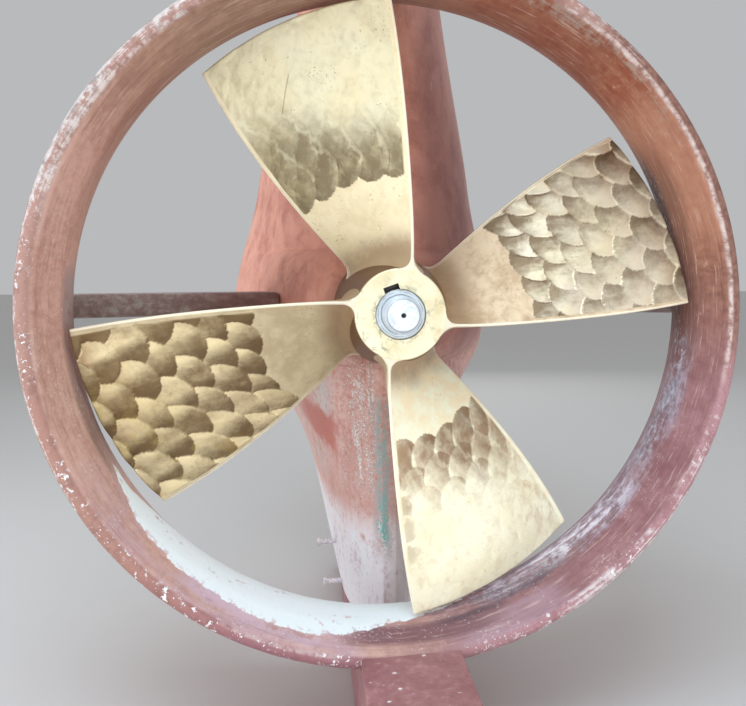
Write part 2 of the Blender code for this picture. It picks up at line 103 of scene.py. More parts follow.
world = bpy.data.worlds.new("studio")
bpy.context.scene.world = world
world.use_nodes = True
backdrop = world.node_tree.nodes["Background"]
backdrop.inputs["Color"].default_value = (0.97, 0.98, 1.0, 1.0)
backdrop.inputs["Strength"].default_value = 0.50

# each panel's place, what it looks at, its size and how bright it glows, from the hub's face
for panel_name, place, aim, size, glow in (
    ("port_panel", (-2.4, -2.7, 0.2), (0, 0, 0), (3.2, 2.2), 1.22),
    ("port_side_panel", (-3.0, -0.7, 0.2), (0, 0, 0), (2.2, 2.2), 1.25),
    ("starboard_panel", (2.6, -2.1, -0.55), (0, 0, 0), (2.6, 1.4), 1.9),
    ("starboard_side_panel", (3.0, -0.5, -0.5), (0, 0, 0), (2.2, 1.5), 1.4),
    ("aft_panel", (0.3, -4.6, -0.55), (0, 0, 0), (2.8, 1.4), 2.1),
    ("upper_panel", (1.4, -2.5, 1.7), (0, 0, 0), (2.0, 1.4), 1.0),
    ("overhead_panel", (-0.6, -1.2, 2.4), (0, 0, -0.4), (2.4, 1.7), 4.8),
    ("low_panel", (-0.3, -1.3, -0.68), (-0.3, -1.3, 1.0), (2.8, 1.5), 0.92),
    ("port_forward_panel", (-2.2, 0.7, -0.6), (0, 0.4, -0.4), (1.4, 1.0), 2.6),
    ("forward_panel", (0.6, 4.2, 1.2), (0, 0, 0), (3.0, 2.0), 1.2),
):
    panel = bpy.data.lights.new(panel_name, "AREA")
    panel.shape = "RECTANGLE"
    panel.size, panel.size_y = size
    panel.energy = glow * math.pi * size[0] * size[1]
    if panel_name == "overhead_panel":
        panel.color = COOL_TINT
    lamp = bpy.data.objects.new(panel_name, panel)
    lamp.location = HUB_FACE + Vector(place)
    lamp.rotation_euler = (Vector(aim) - Vector(place)).to_track_quat("-Z", "Y").to_euler()
    lamp.visible_camera = False
    bpy.context.scene.collection.objects.link(lamp)


# Propeller blades
# Four blades of cast bronze, each a helical face with a swollen back and a square tip. The
# outer part of each is ground into rows of overlapping scales. They are one casting with the
# hub, so each blade's root spreads into it in a fillet.

PITCH = 0.92
ROOT_RADIUS = 0.065
TIP_RADIUS = 0.5
TIP_ROUND = 0.0012
TIP_THICKNESS = 0.012
ROOT_EXTRA = 0.032
EDGE_THICKNESS = 0.005
BLADE_START = 0.003
BLADE_RAKE = 0.026
ROOT_SPAN = 59.0
HUB_LENGTH = 0.185
HUB_AFT_RADIUS = 0.076
HUB_GROWTH = 0.028
HUB_SWELL = 0.004
BLADE_COLUMNS = 150
BLADE_ROWS = 176
FILLET_ROWS = 14
FILLET = 0.020
helix = PITCH / (2 * math.pi)


def skinned(name, points, caps=()):
    """A mesh skinned over rows of points, each row a loop, with more faces to close its ends."""
    rows, columns = points.shape[:2]
    row, column = np.meshgrid(np.arange(rows - 1), np.arange(columns), indexing="ij")
    following = (column + 1) % columns
    quads = np.stack([row * columns + column, row * columns + following,
                      (row + 1) * columns + following, (row + 1) * columns + column], axis=-1)
    mesh = bpy.data.meshes.new(name)
    mesh.from_pydata((points.reshape(-1, 3) + np.array(HUB_FACE)).tolist(), [],
                     quads.reshape(-1, 4).tolist() + list(caps))
    piece = bpy.data.objects.new(name, mesh)
    bpy.context.scene.collection.objects.link(piece)
    return piece


def edit(piece):
    """Open one piece in edit mode with nothing selected."""
    bpy.ops.object.select_all(action="DESELECT")
    piece.select_set(True)
    bpy.context.view_layer.objects.active = piece
    bpy.ops.object.mode_set(mode="EDIT")
    bpy.ops.mesh.select_all(action="DESELECT")


def close_edit(smooth_angle=40.0):
    """Turn the open piece's faces outwards, close it and shade it smooth up to an angle."""
    bpy.ops.mesh.select_all(action="SELECT")
    bpy.ops.mesh.normals_make_consistent(inside=False)
    bpy.ops.object.mode_set(mode="OBJECT")
    bpy.ops.object.shade_smooth_by_angle(angle=math.radians(smooth_angle))


def hub_radius(forward):
    """The hub's outside, which grows forward and swells a little at its middle."""
    share = np.clip(forward / HUB_LENGTH, 0.0, 1.0)
    return HUB_AFT_RADIUS + HUB_GROWTH * share + HUB_SWELL * np.sin(math.pi * share)


def blade_angles(share):
    """Where the trailing and leading edges lie round the shaft, from root (0) to tip (1)."""
    inward = 1 - share
    trailing = 2.2 - 7.5 * inward - 8.2 * inward ** 5
    leading = 45.5 - 5.0 * share - 1.9 * share ** 3
    return np.radians(trailing), np.radians(leading)


def blade_thickness(share, across):
    """Thickest at the root and midway from edge to edge, down to the rounded edges."""
    inward = 1 - share
    middle = TIP_THICKNESS + ROOT_EXTRA * inward ** 1.3
    swell = np.sin(math.pi * np.clip(across, 0.0, 1.0)) ** 0.7
    return EDGE_THICKNESS + (middle - EDGE_THICKNESS) * swell


def ground_scales(radius, width, chord, work, seed):
    """Height and finish of the ground scales at points of a blade's face.

    They are ground in rows round the shaft, from the trailing edge on, and each one cuts into
    those inside it and before it, so its free edge is a bow towards hub and trailing edge.
    """
    chance = np.random.default_rng(seed)
    half_out, half_along = work["half_lengths"]
    relief = work["relief"]
    height = np.zeros_like(radius)
    nearest = np.full(radius.shape, 9.0)
    covered = np.zeros(radius.shape, bool)
    tone = np.zeros_like(radius)
    lean = np.zeros_like(radius)
    rim = np.full(radius.shape, 0.02)
    for row in range(8):
        row_radius = work["first_row"] + work["row_pitch"] * row
        row_chord = blade_chord(min(row_radius, TIP_RADIUS))
        for place in range(-4, 8):
            share = work["first_place"] + work["row_shift"] * row + work["place_pitch"] * place
            centre_radius = row_radius + chance.uniform(-0.0045, 0.0045)
            centre_width = share * row_chord + chance.uniform(-0.004, 0.004)
            size = chance.uniform(0.94, 1.08)
            lift = chance.uniform(0.75, 1.25)
            stroke = chance.uniform(0.0, 1.0)
            stroke_place = chance.uniform(0.0, 1.0)
            colour = chance.uniform(0.0, 1.0)
            out = (radius - centre_radius) / (half_out * size)
            along = (width - centre_width) / (half_along * size)
            distance = np.hypot(out, along)
            inside = distance < 1.0
            take = inside | (~covered & (distance < nearest))
            nearest = np.where(take, distance, nearest)
            across = 0.94 * along - 0.34 * out
            ridge = 1.0 - np.abs(2.0 * np.mod(across * 0.85 + stroke_place, 1.0) - 1.0)
            ridge = ridge * ridge * (3.0 - 2.0 * ridge)
            dome = (1.0 - 1.5 * ((along + 0.25) ** 2 + (out + 0.35) ** 2) + 0.30 * along - 0.30 * out
                    + work["strokes"] * stroke * ridge)
            height = np.where(take, relief * lift * dome, height)
            tone = np.where(take, colour, tone)
            # how each scale leans, which the finish paints as shade on the side it tilts to
            lean = np.where(take, np.clip(1.1 * (along + 0.25) + work["lean_out"] * (out + 0.35)
                                          - 0.7 * work["strokes"] * stroke * (ridge - 0.5), -1.0, 1.0), lean)
            rim = np.where(take, np.clip(1.0 - distance, 0.0, 1.0) * half_along * size, rim)
            covered |= inside
    ground = (radius > work["first_row"]) | covered
    strips = work["strips"]
    margin = np.minimum((width - strips[0]) / 0.0015, (chord - width - strips[1]) / 0.0015)
    zone = np.clip(margin, 0.0, 1.0) * ground
    fade_from, fade_to = work["fade"]
    kept = 1.0 - (1.0 - fade_to) * np.clip((radius - fade_from) / 0.05, 0.0, 1.0)
    return height * zone * kept, tone, zone, rim, lean


def blade_chord(radius):
    """The blade's width from edge to edge, along its helix."""
    trailing, leading = blade_angles((radius - ROOT_RADIUS) / (TIP_RADIUS - ROOT_RADIUS))
    return radius * (leading - trailing) / np.cos(np.arctan2(helix, radius))


def blade_points(turn, work, seed):
    """Loops of points from root to tip, with the BLADE_FIELDS values at each point."""
    columns = np.linspace(0.0, 1.0, BLADE_COLUMNS + 1)
    edge_turns = np.radians([36.0, 72.0, 108.0, 144.0])
    side = np.concatenate([np.zeros(BLADE_COLUMNS + 1), 0.5 - 0.5 * np.cos(edge_turns),
                           np.ones(BLADE_COLUMNS + 1), 0.5 + 0.5 * np.cos(edge_turns)])
    across = np.concatenate([columns, np.ones(4), columns[::-1], np.zeros(4)])
    bulge = np.concatenate([np.zeros(BLADE_COLUMNS + 1), 0.5 * np.sin(edge_turns),
                            np.zeros(BLADE_COLUMNS + 1), -0.5 * np.sin(edge_turns)])
    turn_down = np.linspace(0.0, 1.0, FILLET_ROWS + 1)
    fillet_heights = FILLET * (1 - np.cos(turn_down * math.pi / 2)) - 0.0004
    heights = np.concatenate([[-0.004], fillet_heights])
    body = np.linspace(0.0, 1.0, BLADE_ROWS + 1)[1:]
    rows = []
    values = []
    forward_guess = BLADE_START + helix * np.radians(ROOT_SPAN) * across
    for row in range(len(heights) + len(body) + 2):
        if row < len(heights):
            radius = hub_radius(forward_guess) + heights[row]
            reach = max(heights[row] + 0.0004, 0.0)
            spread = FILLET - math.sqrt(max(FILLET ** 2 - (FILLET - reach) ** 2, 0.0))
            shrink = 0.0
        elif row < len(heights) + len(body):
            start = hub_radius(forward_guess) + heights[-1]
            radius = start + (TIP_RADIUS - TIP_ROUND - start) * body[row - len(heights)]
            spread = 0.0
            shrink = 0.0
        else:
            step = row - len(heights) - len(body) + 1
            radius = np.full_like(across, TIP_RADIUS - TIP_ROUND * (1 - math.sin(step * math.pi / 4)))
            spread = 0.0
            shrink = TIP_ROUND * (1 - math.cos(step * math.pi / 4))
        share = (radius - ROOT_RADIUS) / (TIP_RADIUS - ROOT_RADIUS)
        trailing, leading = blade_angles(share)
        pitch_angle = np.arctan2(helix, radius)
        angle = trailing + (leading - trailing) * across
        chord = radius * (leading - trailing) / np.cos(pitch_angle)
        width = chord * across
        face = BLADE_START - BLADE_RAKE * share + helix * (angle - trailing)
        thickness = blade_thickness(share, across)
        offset = thickness * side
        is_face = side == 0.0
        is_back = side == 1.0
        relief_here, tone, zone, rim, lean = ground_scales(radius, width, chord, work, seed)
        back_relief, back_tone, back_zone, back_rim, back_lean = ground_scales(
            radius, chord - width, chord, work, seed + 50)
        offset = np.where(is_face, offset - relief_here + 0.5 * work["relief"] * zone, offset)
        offset = np.where(is_back, offset + 0.6 * (back_relief - 0.5 * work["relief"] * back_zone), offset)
        offset = offset + shrink * (1 - 2 * side)
        slide = bulge * EDGE_THICKNESS
        arc = radius * angle - offset * np.sin(pitch_angle) + slide * np.cos(pitch_angle)
        forward = face + offset * np.cos(pitch_angle) + slide * np.sin(pitch_angle)
        if spread > 0.0:
            step_arc = np.roll(arc, -1) - np.roll(arc, 1)
            step_forward = np.roll(forward, -1) - np.roll(forward, 1)
            length = np.hypot(step_arc, step_forward)
            arc = arc + spread * step_forward / length
            forward = forward - spread * step_arc / length
        if row < len(heights):
            forward = np.clip(forward, 0.0006, HUB_LENGTH - 0.002)
            radius = hub_radius(forward) + heights[row]
        angle = arc / radius + turn
        rows.append(np.stack([radius * np.cos(angle), forward, radius * np.sin(angle)], axis=-1))
        values.append(np.stack([
            np.where(is_back, back_tone, tone), np.where(is_back, back_zone, np.where(is_face, zone, 0.0)),
            np.where(is_back, back_rim, rim), np.where(is_back, back_lean, lean), radius, width, chord - width],
            axis=-1))
    return np.stack(rows), np.stack(values)


BLADES = {
    "starboard": (0.0, 11, {
        "first_row": 0.258, "row_pitch": 0.0430, "first_place": 0.090, "row_shift": 0.068,
        "place_pitch": 0.205, "half_lengths": (0.0345, 0.0390), "relief": 0.0019, "lean_out": -0.45,
        "strokes": 0.25, "fade": (0.6, 1.0), "strips": (0.0045, 0.0030)}),
    "top": (90.0, 23, {
        "first_row": 0.263, "row_pitch": 0.0440, "first_place": 0.090, "row_shift": 0.060,
        "place_pitch": 0.195, "half_lengths": (0.0380, 0.0330), "relief": 0.0011, "lean_out": 0.10,
        "strokes": 0.5, "fade": (0.29, 0.30), "strips": (0.0070, 0.0050)}),
    "port": (180.0, 37, {
        "first_row": 0.268, "row_pitch": 0.0420, "first_place": 0.060, "row_shift": 0.068,
        "place_pitch": 0.205, "half_lengths": (0.0370, 0.0400), "relief": 0.0027, "lean_out": -0.50,
        "strokes": 0.85, "fade": (0.6, 1.0), "strips": (0.0065, 0.0050)}),
    "bottom": (270.0, 41, {
        "first_row": 0.251, "row_pitch": 0.0430, "first_place": 0.090, "row_shift": 0.060,
        "place_pitch": 0.208, "half_lengths": (0.0370, 0.0330), "relief": 0.0010, "lean_out": 0.10,
        "strokes": 0.5, "fade": (0.28, 0.30), "strips": (0.0045, 0.0060)}),
}
BLADE_FIELDS = ("tone", "zone", "rim", "lean", "radius", "from_trailing", "from_leading")
blades = {}
for blade_name, (turn, seed, work) in BLADES.items():
    points, values = blade_points(math.radians(turn), work, seed)
    columns = points.shape[1]
    first_of_tip = (points.shape[0] - 1) * columns
    after_lead = BLADE_COLUMNS + 5
    after_back = 2 * BLADE_COLUMNS + 6
    strips = [(side, side + 1, after_back - 2 - side, after_back - 1 - side) for side in range(BLADE_COLUMNS)]
    ends = [(BLADE_COLUMNS, *range(BLADE_COLUMNS + 1, after_lead), after_lead),
            (after_back - 1, *range(after_back, after_back + 4), 0)]
    caps = [[first_of_tip + index for index in cap] for cap in strips + ends] + [list(range(columns))]
    blade = skinned(f"blade_{blade_name}", points, caps)
    for index, field in enumerate(BLADE_FIELDS):
        attribute = blade.data.attributes.new(field, "FLOAT", "POINT")
        attribute.data.foreach_set("value", values[..., index].astype(np.float32).ravel())
    edit(blade)
    close_edit(50.0)
    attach(blade, TURNING)
    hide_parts("propeller")
    blades[blade_name] = blade


def from_screen(red, green, blue):
    """A colour as seen on a screen, from 0 to 255, as the shader wants it."""
    shares = [part / 255 for part in (red, green, blue)]
    return tuple(part / 12.92 if part <= 0.04045 else ((part + 0.055) / 1.055) ** 2.4
                 for part in shares) + (1.0,)


class Reading:
    """A value in a finish. Arithmetic on it adds Math nodes."""

    def __init__(self, finish, socket):
        self.finish = finish
        self.socket = socket

    def maths(self, operation, *values):
        return self.finish.node("ShaderNodeMath", {"operation": operation}, dict(enumerate(values)))

    def __add__(self, other):
        return self.maths("ADD", self, other)

    def __radd__(self, other):
        return self.maths("ADD", other, self)

    def __sub__(self, other):
        return self.maths("SUBTRACT", self, other)

    def __rsub__(self, other):
        return self.maths("SUBTRACT", other, self)

    def __mul__(self, other):
        return self.maths("MULTIPLY", self, other)

    def __rmul__(self, other):
        return self.maths("MULTIPLY", other, self)

    def __truediv__(self, other):
        return self.maths("DIVIDE", self, other)

    def __pow__(self, other):
        return self.maths("POWER", self, other)

    def away(self, middle):
        """How far from a middle, on either side."""
        return self.maths("ABSOLUTE", self - middle)

    def fract(self):
        """What is left of a value without its whole numbers."""
        return self.maths("FRACT", self)

    def beside(self, middle, half, soft):
        """1 within half of a middle, falling to 0 over soft."""
        return self.away(middle).rise(half + soft, half)

    def tint(self, low, high, first, second):
        """The first colour below low, the second above high and a smooth change between."""
        return self.finish.blend(self.rise(low, high), first, second)

    def covered(self, share, colour):
        """This colour with a share of another over it."""
        return self.finish.blend(share, self, colour)

    def least(self, other):
        return self.maths("MINIMUM", self, other)

    def most(self, other):
        return self.maths("MAXIMUM", self, other)

    def rise(self, low, high):
        """0 below low, 1 above high and a smooth step between; high may lie below low."""
        return self.finish.node("ShaderNodeMapRange", {"interpolation_type": "SMOOTHSTEP"},
                                {"Value": self, "From Min": low, "From Max": high})


class Finish:
    """A material under construction, with its Principled shader."""

    def __init__(self, name, roughness=0.5, metallic=0.0):
        self.material = bpy.data.materials.new(name)
        self.material.use_nodes = True
        self.tree = self.material.node_tree
        self.shader = self.tree.nodes["Principled BSDF"]
        self.shader.inputs["Roughness"].default_value = roughness
        self.shader.inputs["Metallic"].default_value = metallic

    def node(self, kind, settings=None, sockets=None, output=0):
        made = self.tree.nodes.new(kind)
        for name, value in (settings or {}).items():
            if name == "stops":
                made.color_ramp.elements.remove(made.color_ramp.elements[1])
                made.color_ramp.elements[0].position = value[0][0]
                for position, shade in value[1:]:
                    made.color_ramp.elements.new(position)
                for element, (position, shade) in zip(made.color_ramp.elements, value):
                    element.color = (shade, shade, shade, 1.0)
            else:
                setattr(made, name, value)
        for name, value in (sockets or {}).items():
            if isinstance(value, Reading):
                self.tree.links.new(value.socket, made.inputs[name])
            else:
                made.inputs[name].default_value = value
        return Reading(self, made.outputs[output])

    def place(self, squeeze=(1.0, 1.0, 1.0)):
        """Object coordinates from the hub's face, squeezed along the axes."""
        where = self.node("ShaderNodeTexCoord", output=3)
        moved = self.node("ShaderNodeVectorMath", {"operation": "SUBTRACT"}, {0: where, 1: HUB_FACE})
        return self.node("ShaderNodeVectorMath", {"operation": "MULTIPLY"}, {0: moved, 1: squeeze})

    def parts(self, vector):
        made = self.tree.nodes.new("ShaderNodeSeparateXYZ")
        self.tree.links.new(vector.socket, made.inputs[0])
        return [Reading(self, socket) for socket in made.outputs]

    def joined(self, *values):
        return self.node("ShaderNodeCombineXYZ", None, dict(enumerate(values)))

    def value(self, name):
        return self.node("ShaderNodeAttribute", {"attribute_name": name}, output=2)

    def noise(self, vector, scale, detail=4.0, rough=0.55, twist=0.0):
        return self.node("ShaderNodeTexNoise", None, {
            "Vector": vector, "Scale": scale, "Detail": detail, "Roughness": rough, "Distortion": twist})

    def cells(self, vector, scale):
        return self.node("ShaderNodeTexVoronoi", None, {"Vector": vector, "Scale": scale})

    def blend(self, share, first, second):
        """Two colours mixed, each one a reading or as a screen shows it."""
        first, second = [colour if isinstance(colour, Reading) else from_screen(*colour)
                         for colour in (first, second)]
        return self.node("ShaderNodeMix", {"data_type": "RGBA"}, {0: share, 6: first, 7: second}, output=2)

    def colour(self, colour):
        self.tree.links.new(colour.socket, self.shader.inputs["Base Color"])

    def rough(self, value):
        self.tree.links.new(value.socket, self.shader.inputs["Roughness"])

    def metal(self, value):
        self.tree.links.new(value.socket, self.shader.inputs["Metallic"])

    def bump(self, height, depth):
        made = self.node("ShaderNodeBump", None, {"Height": height, "Distance": depth, "Strength": 1.0})
        self.tree.links.new(made.socket, self.shader.inputs["Normal"])


# What each blade's metal looks like: as cast, ground bright and ground dull, how pale it is, how
# far a scale's lean and the start of the grinding darken it, the radii where the grinding
# starts at the trailing and at the leading edge, and how metallic cast and ground faces look.
# The four blades are one bronze. Their differences in brightness, in the lean's darkening and in
# the band where the grinding starts are painted reflection and painted shade over its own tone.
BLADE_TONES_AND_REFLECTIONS = {
    "starboard": {"cast": ((226, 204, 172), (190, 162, 128)), "bright": (222, 209, 186), "dull": (120, 100, 76),
                  "pale": 0.58, "lean": 0.44, "start": 0.38, "reach": (0.275, 0.310), "metal": (0.20, 0.70)},
    "top": {"cast": ((250, 238, 200), (238, 222, 180)), "bright": (232, 227, 196), "dull": (130, 116, 88),
            "pale": 0.84, "lean": 0.08, "start": 0.74, "reach": (0.305, 0.375), "metal": (0.16, 0.62)},
    "port": {"cast": ((214, 198, 162), (192, 174, 138)), "bright": (230, 212, 170), "dull": (128, 106, 74),
             "pale": 0.40, "lean": 0.48, "start": 0.06, "reach": (0.300, 0.300), "metal": (0.20, 0.72)},
    "bottom": {"cast": ((255, 255, 226), (255, 238, 198)), "bright": (255, 252, 224), "dull": (154, 124, 94),
               "pale": 0.94, "lean": 0.24, "start": 0.66, "reach": (0.300, 0.335), "metal": (0.05, 0.42)},
}
for blade_name, look in BLADE_TONES_AND_REFLECTIONS.items():
    finish = Finish(f"ground_bronze_{blade_name}", metallic=0.75)
    where = finish.place()
    tone, zone, rim, lean, radius, from_trailing, from_leading = [
        finish.value(field) for field in BLADE_FIELDS]
    edge = from_leading.least(from_trailing)
    cloud = finish.noise(where, 13.0, 5.0, 0.6)
    mottle = finish.noise(where, 46.0, 5.0, 0.62, 0.4)
    grain = finish.noise(where, 130.0, 4.0, 0.65)
    fine = finish.noise(where, 480.0, 3.0, 0.6)
    strokes = finish.noise(finish.joined(from_trailing * 62.0, radius * 20.0, 0.0), 1.0, 4.0, 0.6, 0.3)
    near, far = look["reach"]
    reach = from_leading.rise(0.20, 0.02) * (far - near) + near
    bright = finish.blend(cloud.rise(0.35, 0.7) * 0.35, look["bright"], (230, 212, 160))
    polished = blade_name in ("top", "bottom")
    if polished:
        across = from_trailing / (from_trailing + from_leading)
        first_row, pitch = BLADES[blade_name][2]["first_row"], BLADES[blade_name][2]["place_pitch"]
        slant = finish.joined(across * 15.0 - radius * 22.0, radius * 9.0, 0.0)
        stripes = finish.noise(slant, 1.0, 3.0, 0.5, 0.2)
        patchy = finish.noise(finish.joined(from_trailing * 52.0, radius * 44.0, 5.0), 1.0, 3.0, 0.5, 0.7)
        # a darker band where the grinding starts, its own tone with painted reflection over it
        start = ((radius + (stripes - 0.5) * 0.06 + (patchy - 0.5) * 0.07 - reach).rise(0.065, -0.060)
                 * look["start"])
        # painted shade: a scale darker or lighter by the way it leans, fading out towards the tip
        lean_shade = lean * look["lean"] * (radius + (patchy - 0.5) * 0.10).rise(0.42, 0.31)
        pale = (look["pale"] - lean_shade - start + (mottle - 0.5) * 0.5 + (grain - 0.5) * 0.22
                - (patchy - 0.5) * 0.85)
        lane = (across + 0.048 - (radius - first_row) * 1.5) / pitch + (patchy - 0.5) * 0.7
        vein = (lane.fract().away(0.5).rise(0.36, 0.48) * start.rise(0.05, 0.5)
                * (radius - first_row).rise(-0.035, 0.0))
        pale = pale + vein * 0.20
        ground = pale.tint(-0.05, 0.95, look["dull"], bright)
        soiled = mottle.rise(0.54, 0.66) * 0.24 + from_leading.rise(0.11, 0.02) * patchy.rise(0.40, 0.62) * 0.40
        ground = ground.covered(soiled, (192, 180, 140) if blade_name == "top" else (206, 178, 142))
    else:
        # a darker band where the grinding starts, its own tone with painted reflection over it
        start = ((radius + (strokes - 0.5) * 0.06 + (mottle - 0.5) * 0.05 - reach).rise(0.045, -0.085)
                 * look["start"])
        # painted shade: each scale darker or lighter by the way it leans
        pale = (look["pale"] - look["lean"] * lean + (tone - 0.5) * 0.24 + (mottle - 0.5) * 0.65
                + (grain - 0.5) * 0.35 + (strokes - 0.5) * 0.5 - start)
        if blade_name == "port":
            pale = pale - from_trailing.rise(0.030, 0.012) * 0.30 + from_leading.rise(0.120, 0.02) * 0.22
        ground = pale.tint(-0.05, 0.95, look["dull"], bright)
        if blade_name == "port":
            olive = ((mottle * 0.5 + cloud * 0.5).rise(0.50, 0.60)
                     * (radius - from_leading * 0.6).rise(0.28, 0.38))
            ground = ground.covered(olive * 0.35, (182, 160, 88))
    if blade_name == "top":
        scratch = (across + radius * 2.6).away(1.703).rise(0.006, 0.002)
        scratch = scratch * radius.rise(0.374, 0.380) * radius.rise(0.430, 0.422)
        ground = ground.covered(scratch * 0.5, (112, 104, 76))
    if blade_name == "bottom":
        row = ((radius - 0.262) / 0.043 + (mottle - 0.5) * 0.9 + from_trailing * 6.0).fract()
        edge_marks = ((from_trailing + (mottle - 0.5) * 0.04).rise(0.032, 0.014) * row.rise(0.86, 0.72)
                      * row.rise(0.02, 0.12) * radius.rise(0.425, 0.405))
        ground = ground.covered(edge_marks * 0.45, (168, 138, 104))
    cast = (cloud * 0.5 + mottle * 0.5).tint(0.40, 0.62, look["cast"][0], look["cast"][1])
    # painted shadow: darker brown on the blade near the hub, at its root
    root_shadow = (radius + (cloud - 0.5) * 0.07 + (mottle - 0.5) * 0.03).rise(0.150, 0.100)
    cast = cast.covered(root_shadow * 0.75, (150, 116, 82))
    metal = finish.blend(zone, cast, ground)
    speck = (finish.noise(where, 230.0, 2.0, 0.5).rise(0.64, 0.70)
             * finish.noise(where, 17.0, 3.0).rise(0.50, 0.60))
    metal = metal.covered(speck * (0.22 if blade_name == "bottom" else 0.5), (120, 106, 78))
    groove = rim.rise(0.0016, 0.0) * zone * (radius.rise(near + 0.05, near - 0.01) if polished else 1.0)
    metal = metal.covered(groove * 0.22, (110, 92, 64))
    # painted highlights: thin bright lines along the rounded edges and one just in from the leading edge
    edge_highlight = edge.rise(0.0017, 0.0005).most(from_leading.away(0.0042).rise(0.0010, 0.0003) * 0.8)
    metal = metal.covered(edge_highlight * 0.75, (252, 245, 222))
    finish.colour(metal)
    finish.rough(0.52 - zone * 0.12 + (grain - 0.5) * 0.22)
    finish.metal(zone * (look["metal"][1] - look["metal"][0]) + look["metal"][0])
    finish.bump(mottle * 0.5 + strokes * zone * 0.3 + grain * 0.3 + fine * 0.12, 0.0010)
    blades[blade_name].data.materials.append(finish.material)


# Hub
# The middle of the same bronze casting, turned on its aft face, with a tapered bore and a
# keyway cut through. Its face is bright with grey smears round the bore.

SHAFT_RADIUS = 0.049
TAPER = 24
BORE_CLEARANCE = 0.0003
BORE_CHAMFER = 0.0008
MERGE_DISTANCE = 0.00002
KEY_ANGLE = math.radians(109.5)
KEYWAY_WIDTH = 0.026
KEYWAY_BLOCK = 0.020
KEYWAY_DEPTH = 0.0087
HUB_CREAM = (248, 240, 208)


def turned(name, profile, segments=192):
    """Draw a ring at a profile's first point and extrude it through the others.

    A profile is (distance forward, radius) points. One that ends where it starts is a ring.
    """
    bpy.ops.object.select_all(action="DESELECT")
    start_forward, start_radius = profile[0]
    bpy.ops.mesh.primitive_circle_add(
        vertices=segments, radius=start_radius, location=HUB_FACE + Vector((0, start_forward, 0)),
        rotation=(math.radians(90), 0, 0))
    piece = bpy.context.object
    piece.name = name
    bpy.ops.object.transform_apply(location=True, rotation=True, scale=True)
    bpy.ops.object.mode_set(mode="EDIT")
    bpy.ops.mesh.select_all(action="SELECT")
    closed = profile[0] == profile[-1]
    if not closed:
        bpy.ops.mesh.edge_face_add()
    forward, radius = profile[0]
    for next_forward, next_radius in profile[1:]:
        bpy.ops.mesh.extrude_region_move(
            TRANSFORM_OT_translate={"value": (0.0, next_forward - forward, 0.0)})
        bpy.ops.transform.resize(value=(next_radius / radius, 1.0, next_radius / radius),
                                 center_override=HUB_FACE + Vector((0, next_forward, 0)))
        forward, radius = next_forward, next_radius
    if closed:
        bpy.ops.mesh.select_all(action="SELECT")
        bpy.ops.mesh.remove_doubles(threshold=MERGE_DISTANCE)
    close_edit()
    return piece


def rounded(points, radius):
    """A profile with its inner corners rounded."""
    smooth = [points[0]]
    for before, corner, after in zip(points, points[1:], points[2:]):
        corner = Vector(corner)
        back, ahead = Vector(before) - corner, Vector(after) - corner
        cut = min(radius, back.length / 2.01, ahead.length / 2.01)
        start, end = corner + back.normalized() * cut, corner + ahead.normalized() * cut
        for share in (0, 1 / 3, 2 / 3, 1):
            smooth.append(tuple(start * (1 - share) ** 2 + corner * 2 * share * (1 - share)
                                + end * share ** 2))
    smooth.append(points[-1])
    return smooth


def settle(piece, smooth_angle):
    """Apply a piece's modifiers in their order and shade it smooth up to an angle."""
    bpy.ops.object.select_all(action="DESELECT")
    bpy.context.view_layer.objects.active = piece
    piece.select_set(True)
    for modifier in list(piece.modifiers):
        bpy.ops.object.modifier_apply(modifier=modifier.name)
    bpy.ops.object.shade_smooth_by_angle(angle=math.radians(smooth_angle))


def cut_out(piece, cutter, smooth_angle):
    """Cut one piece out of another and delete the cutter."""
    cut = piece.modifiers.new("cut", "BOOLEAN")
    cut.operation = "DIFFERENCE"
    cut.object = cutter
    settle(piece, smooth_angle)
    bpy.data.objects.remove(cutter, do_unlink=True)


def smooth_run(curve, start, end, steps):
    """Profile points along a curve."""
    return [(start + (end - start) * step / steps, float(curve(start + (end - start) * step / steps)))
            for step in range(steps + 1)]


def bore_radius(forward):
    """The hub's bore, which fits the shaft's taper."""
    return SHAFT_RADIUS - (HUB_LENGTH - forward) / TAPER + BORE_CLEARANCE


hub_side = smooth_run(hub_radius, 0.0, HUB_LENGTH, 24)
hub_outline = rounded([(0.0, bore_radius(0.0) + BORE_CHAMFER)] + hub_side
                      + [(HUB_LENGTH, bore_radius(HUB_LENGTH) + BORE_CHAMFER)], 0.003)
hub_outline = hub_outline + [(HUB_LENGTH - BORE_CHAMFER, bore_radius(HUB_LENGTH)),
                             (BORE_CHAMFER, bore_radius(0.0)), hub_outline[0]]
hub = turned("propeller_hub", hub_outline)
bpy.ops.object.select_all(action="DESELECT")
keyway_middle = bore_radius(HUB_LENGTH / 2) + KEYWAY_DEPTH - KEYWAY_BLOCK / 2
bpy.ops.mesh.primitive_cube_add(size=1.0, location=HUB_FACE + Vector((
    keyway_middle * math.cos(KEY_ANGLE), HUB_LENGTH / 2, keyway_middle * math.sin(KEY_ANGLE))))
keyway = bpy.context.object
bpy.ops.transform.resize(value=(KEYWAY_WIDTH, 0.4, KEYWAY_BLOCK))
bpy.ops.transform.rotate(value=-math.atan(1 / TAPER), orient_axis="X", center_override=keyway.location)
bpy.ops.transform.rotate(value=KEY_ANGLE - math.pi / 2, orient_axis="Y", center_override=keyway.location)
cut_out(hub, keyway, 40)
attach(hub, TURNING)
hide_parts("propeller")

finish = Finish("turned_bronze", metallic=0.5)
where = finish.place()
x, y, z = finish.parts(where)
radius = (x * x + z * z) ** 0.5
cloud = finish.noise(where, 26.0, 5.0, 0.6, 0.4)
smear = finish.noise(where, 60.0, 6.0, 0.7, 1.2)
face = y.rise(0.004, 0.0)
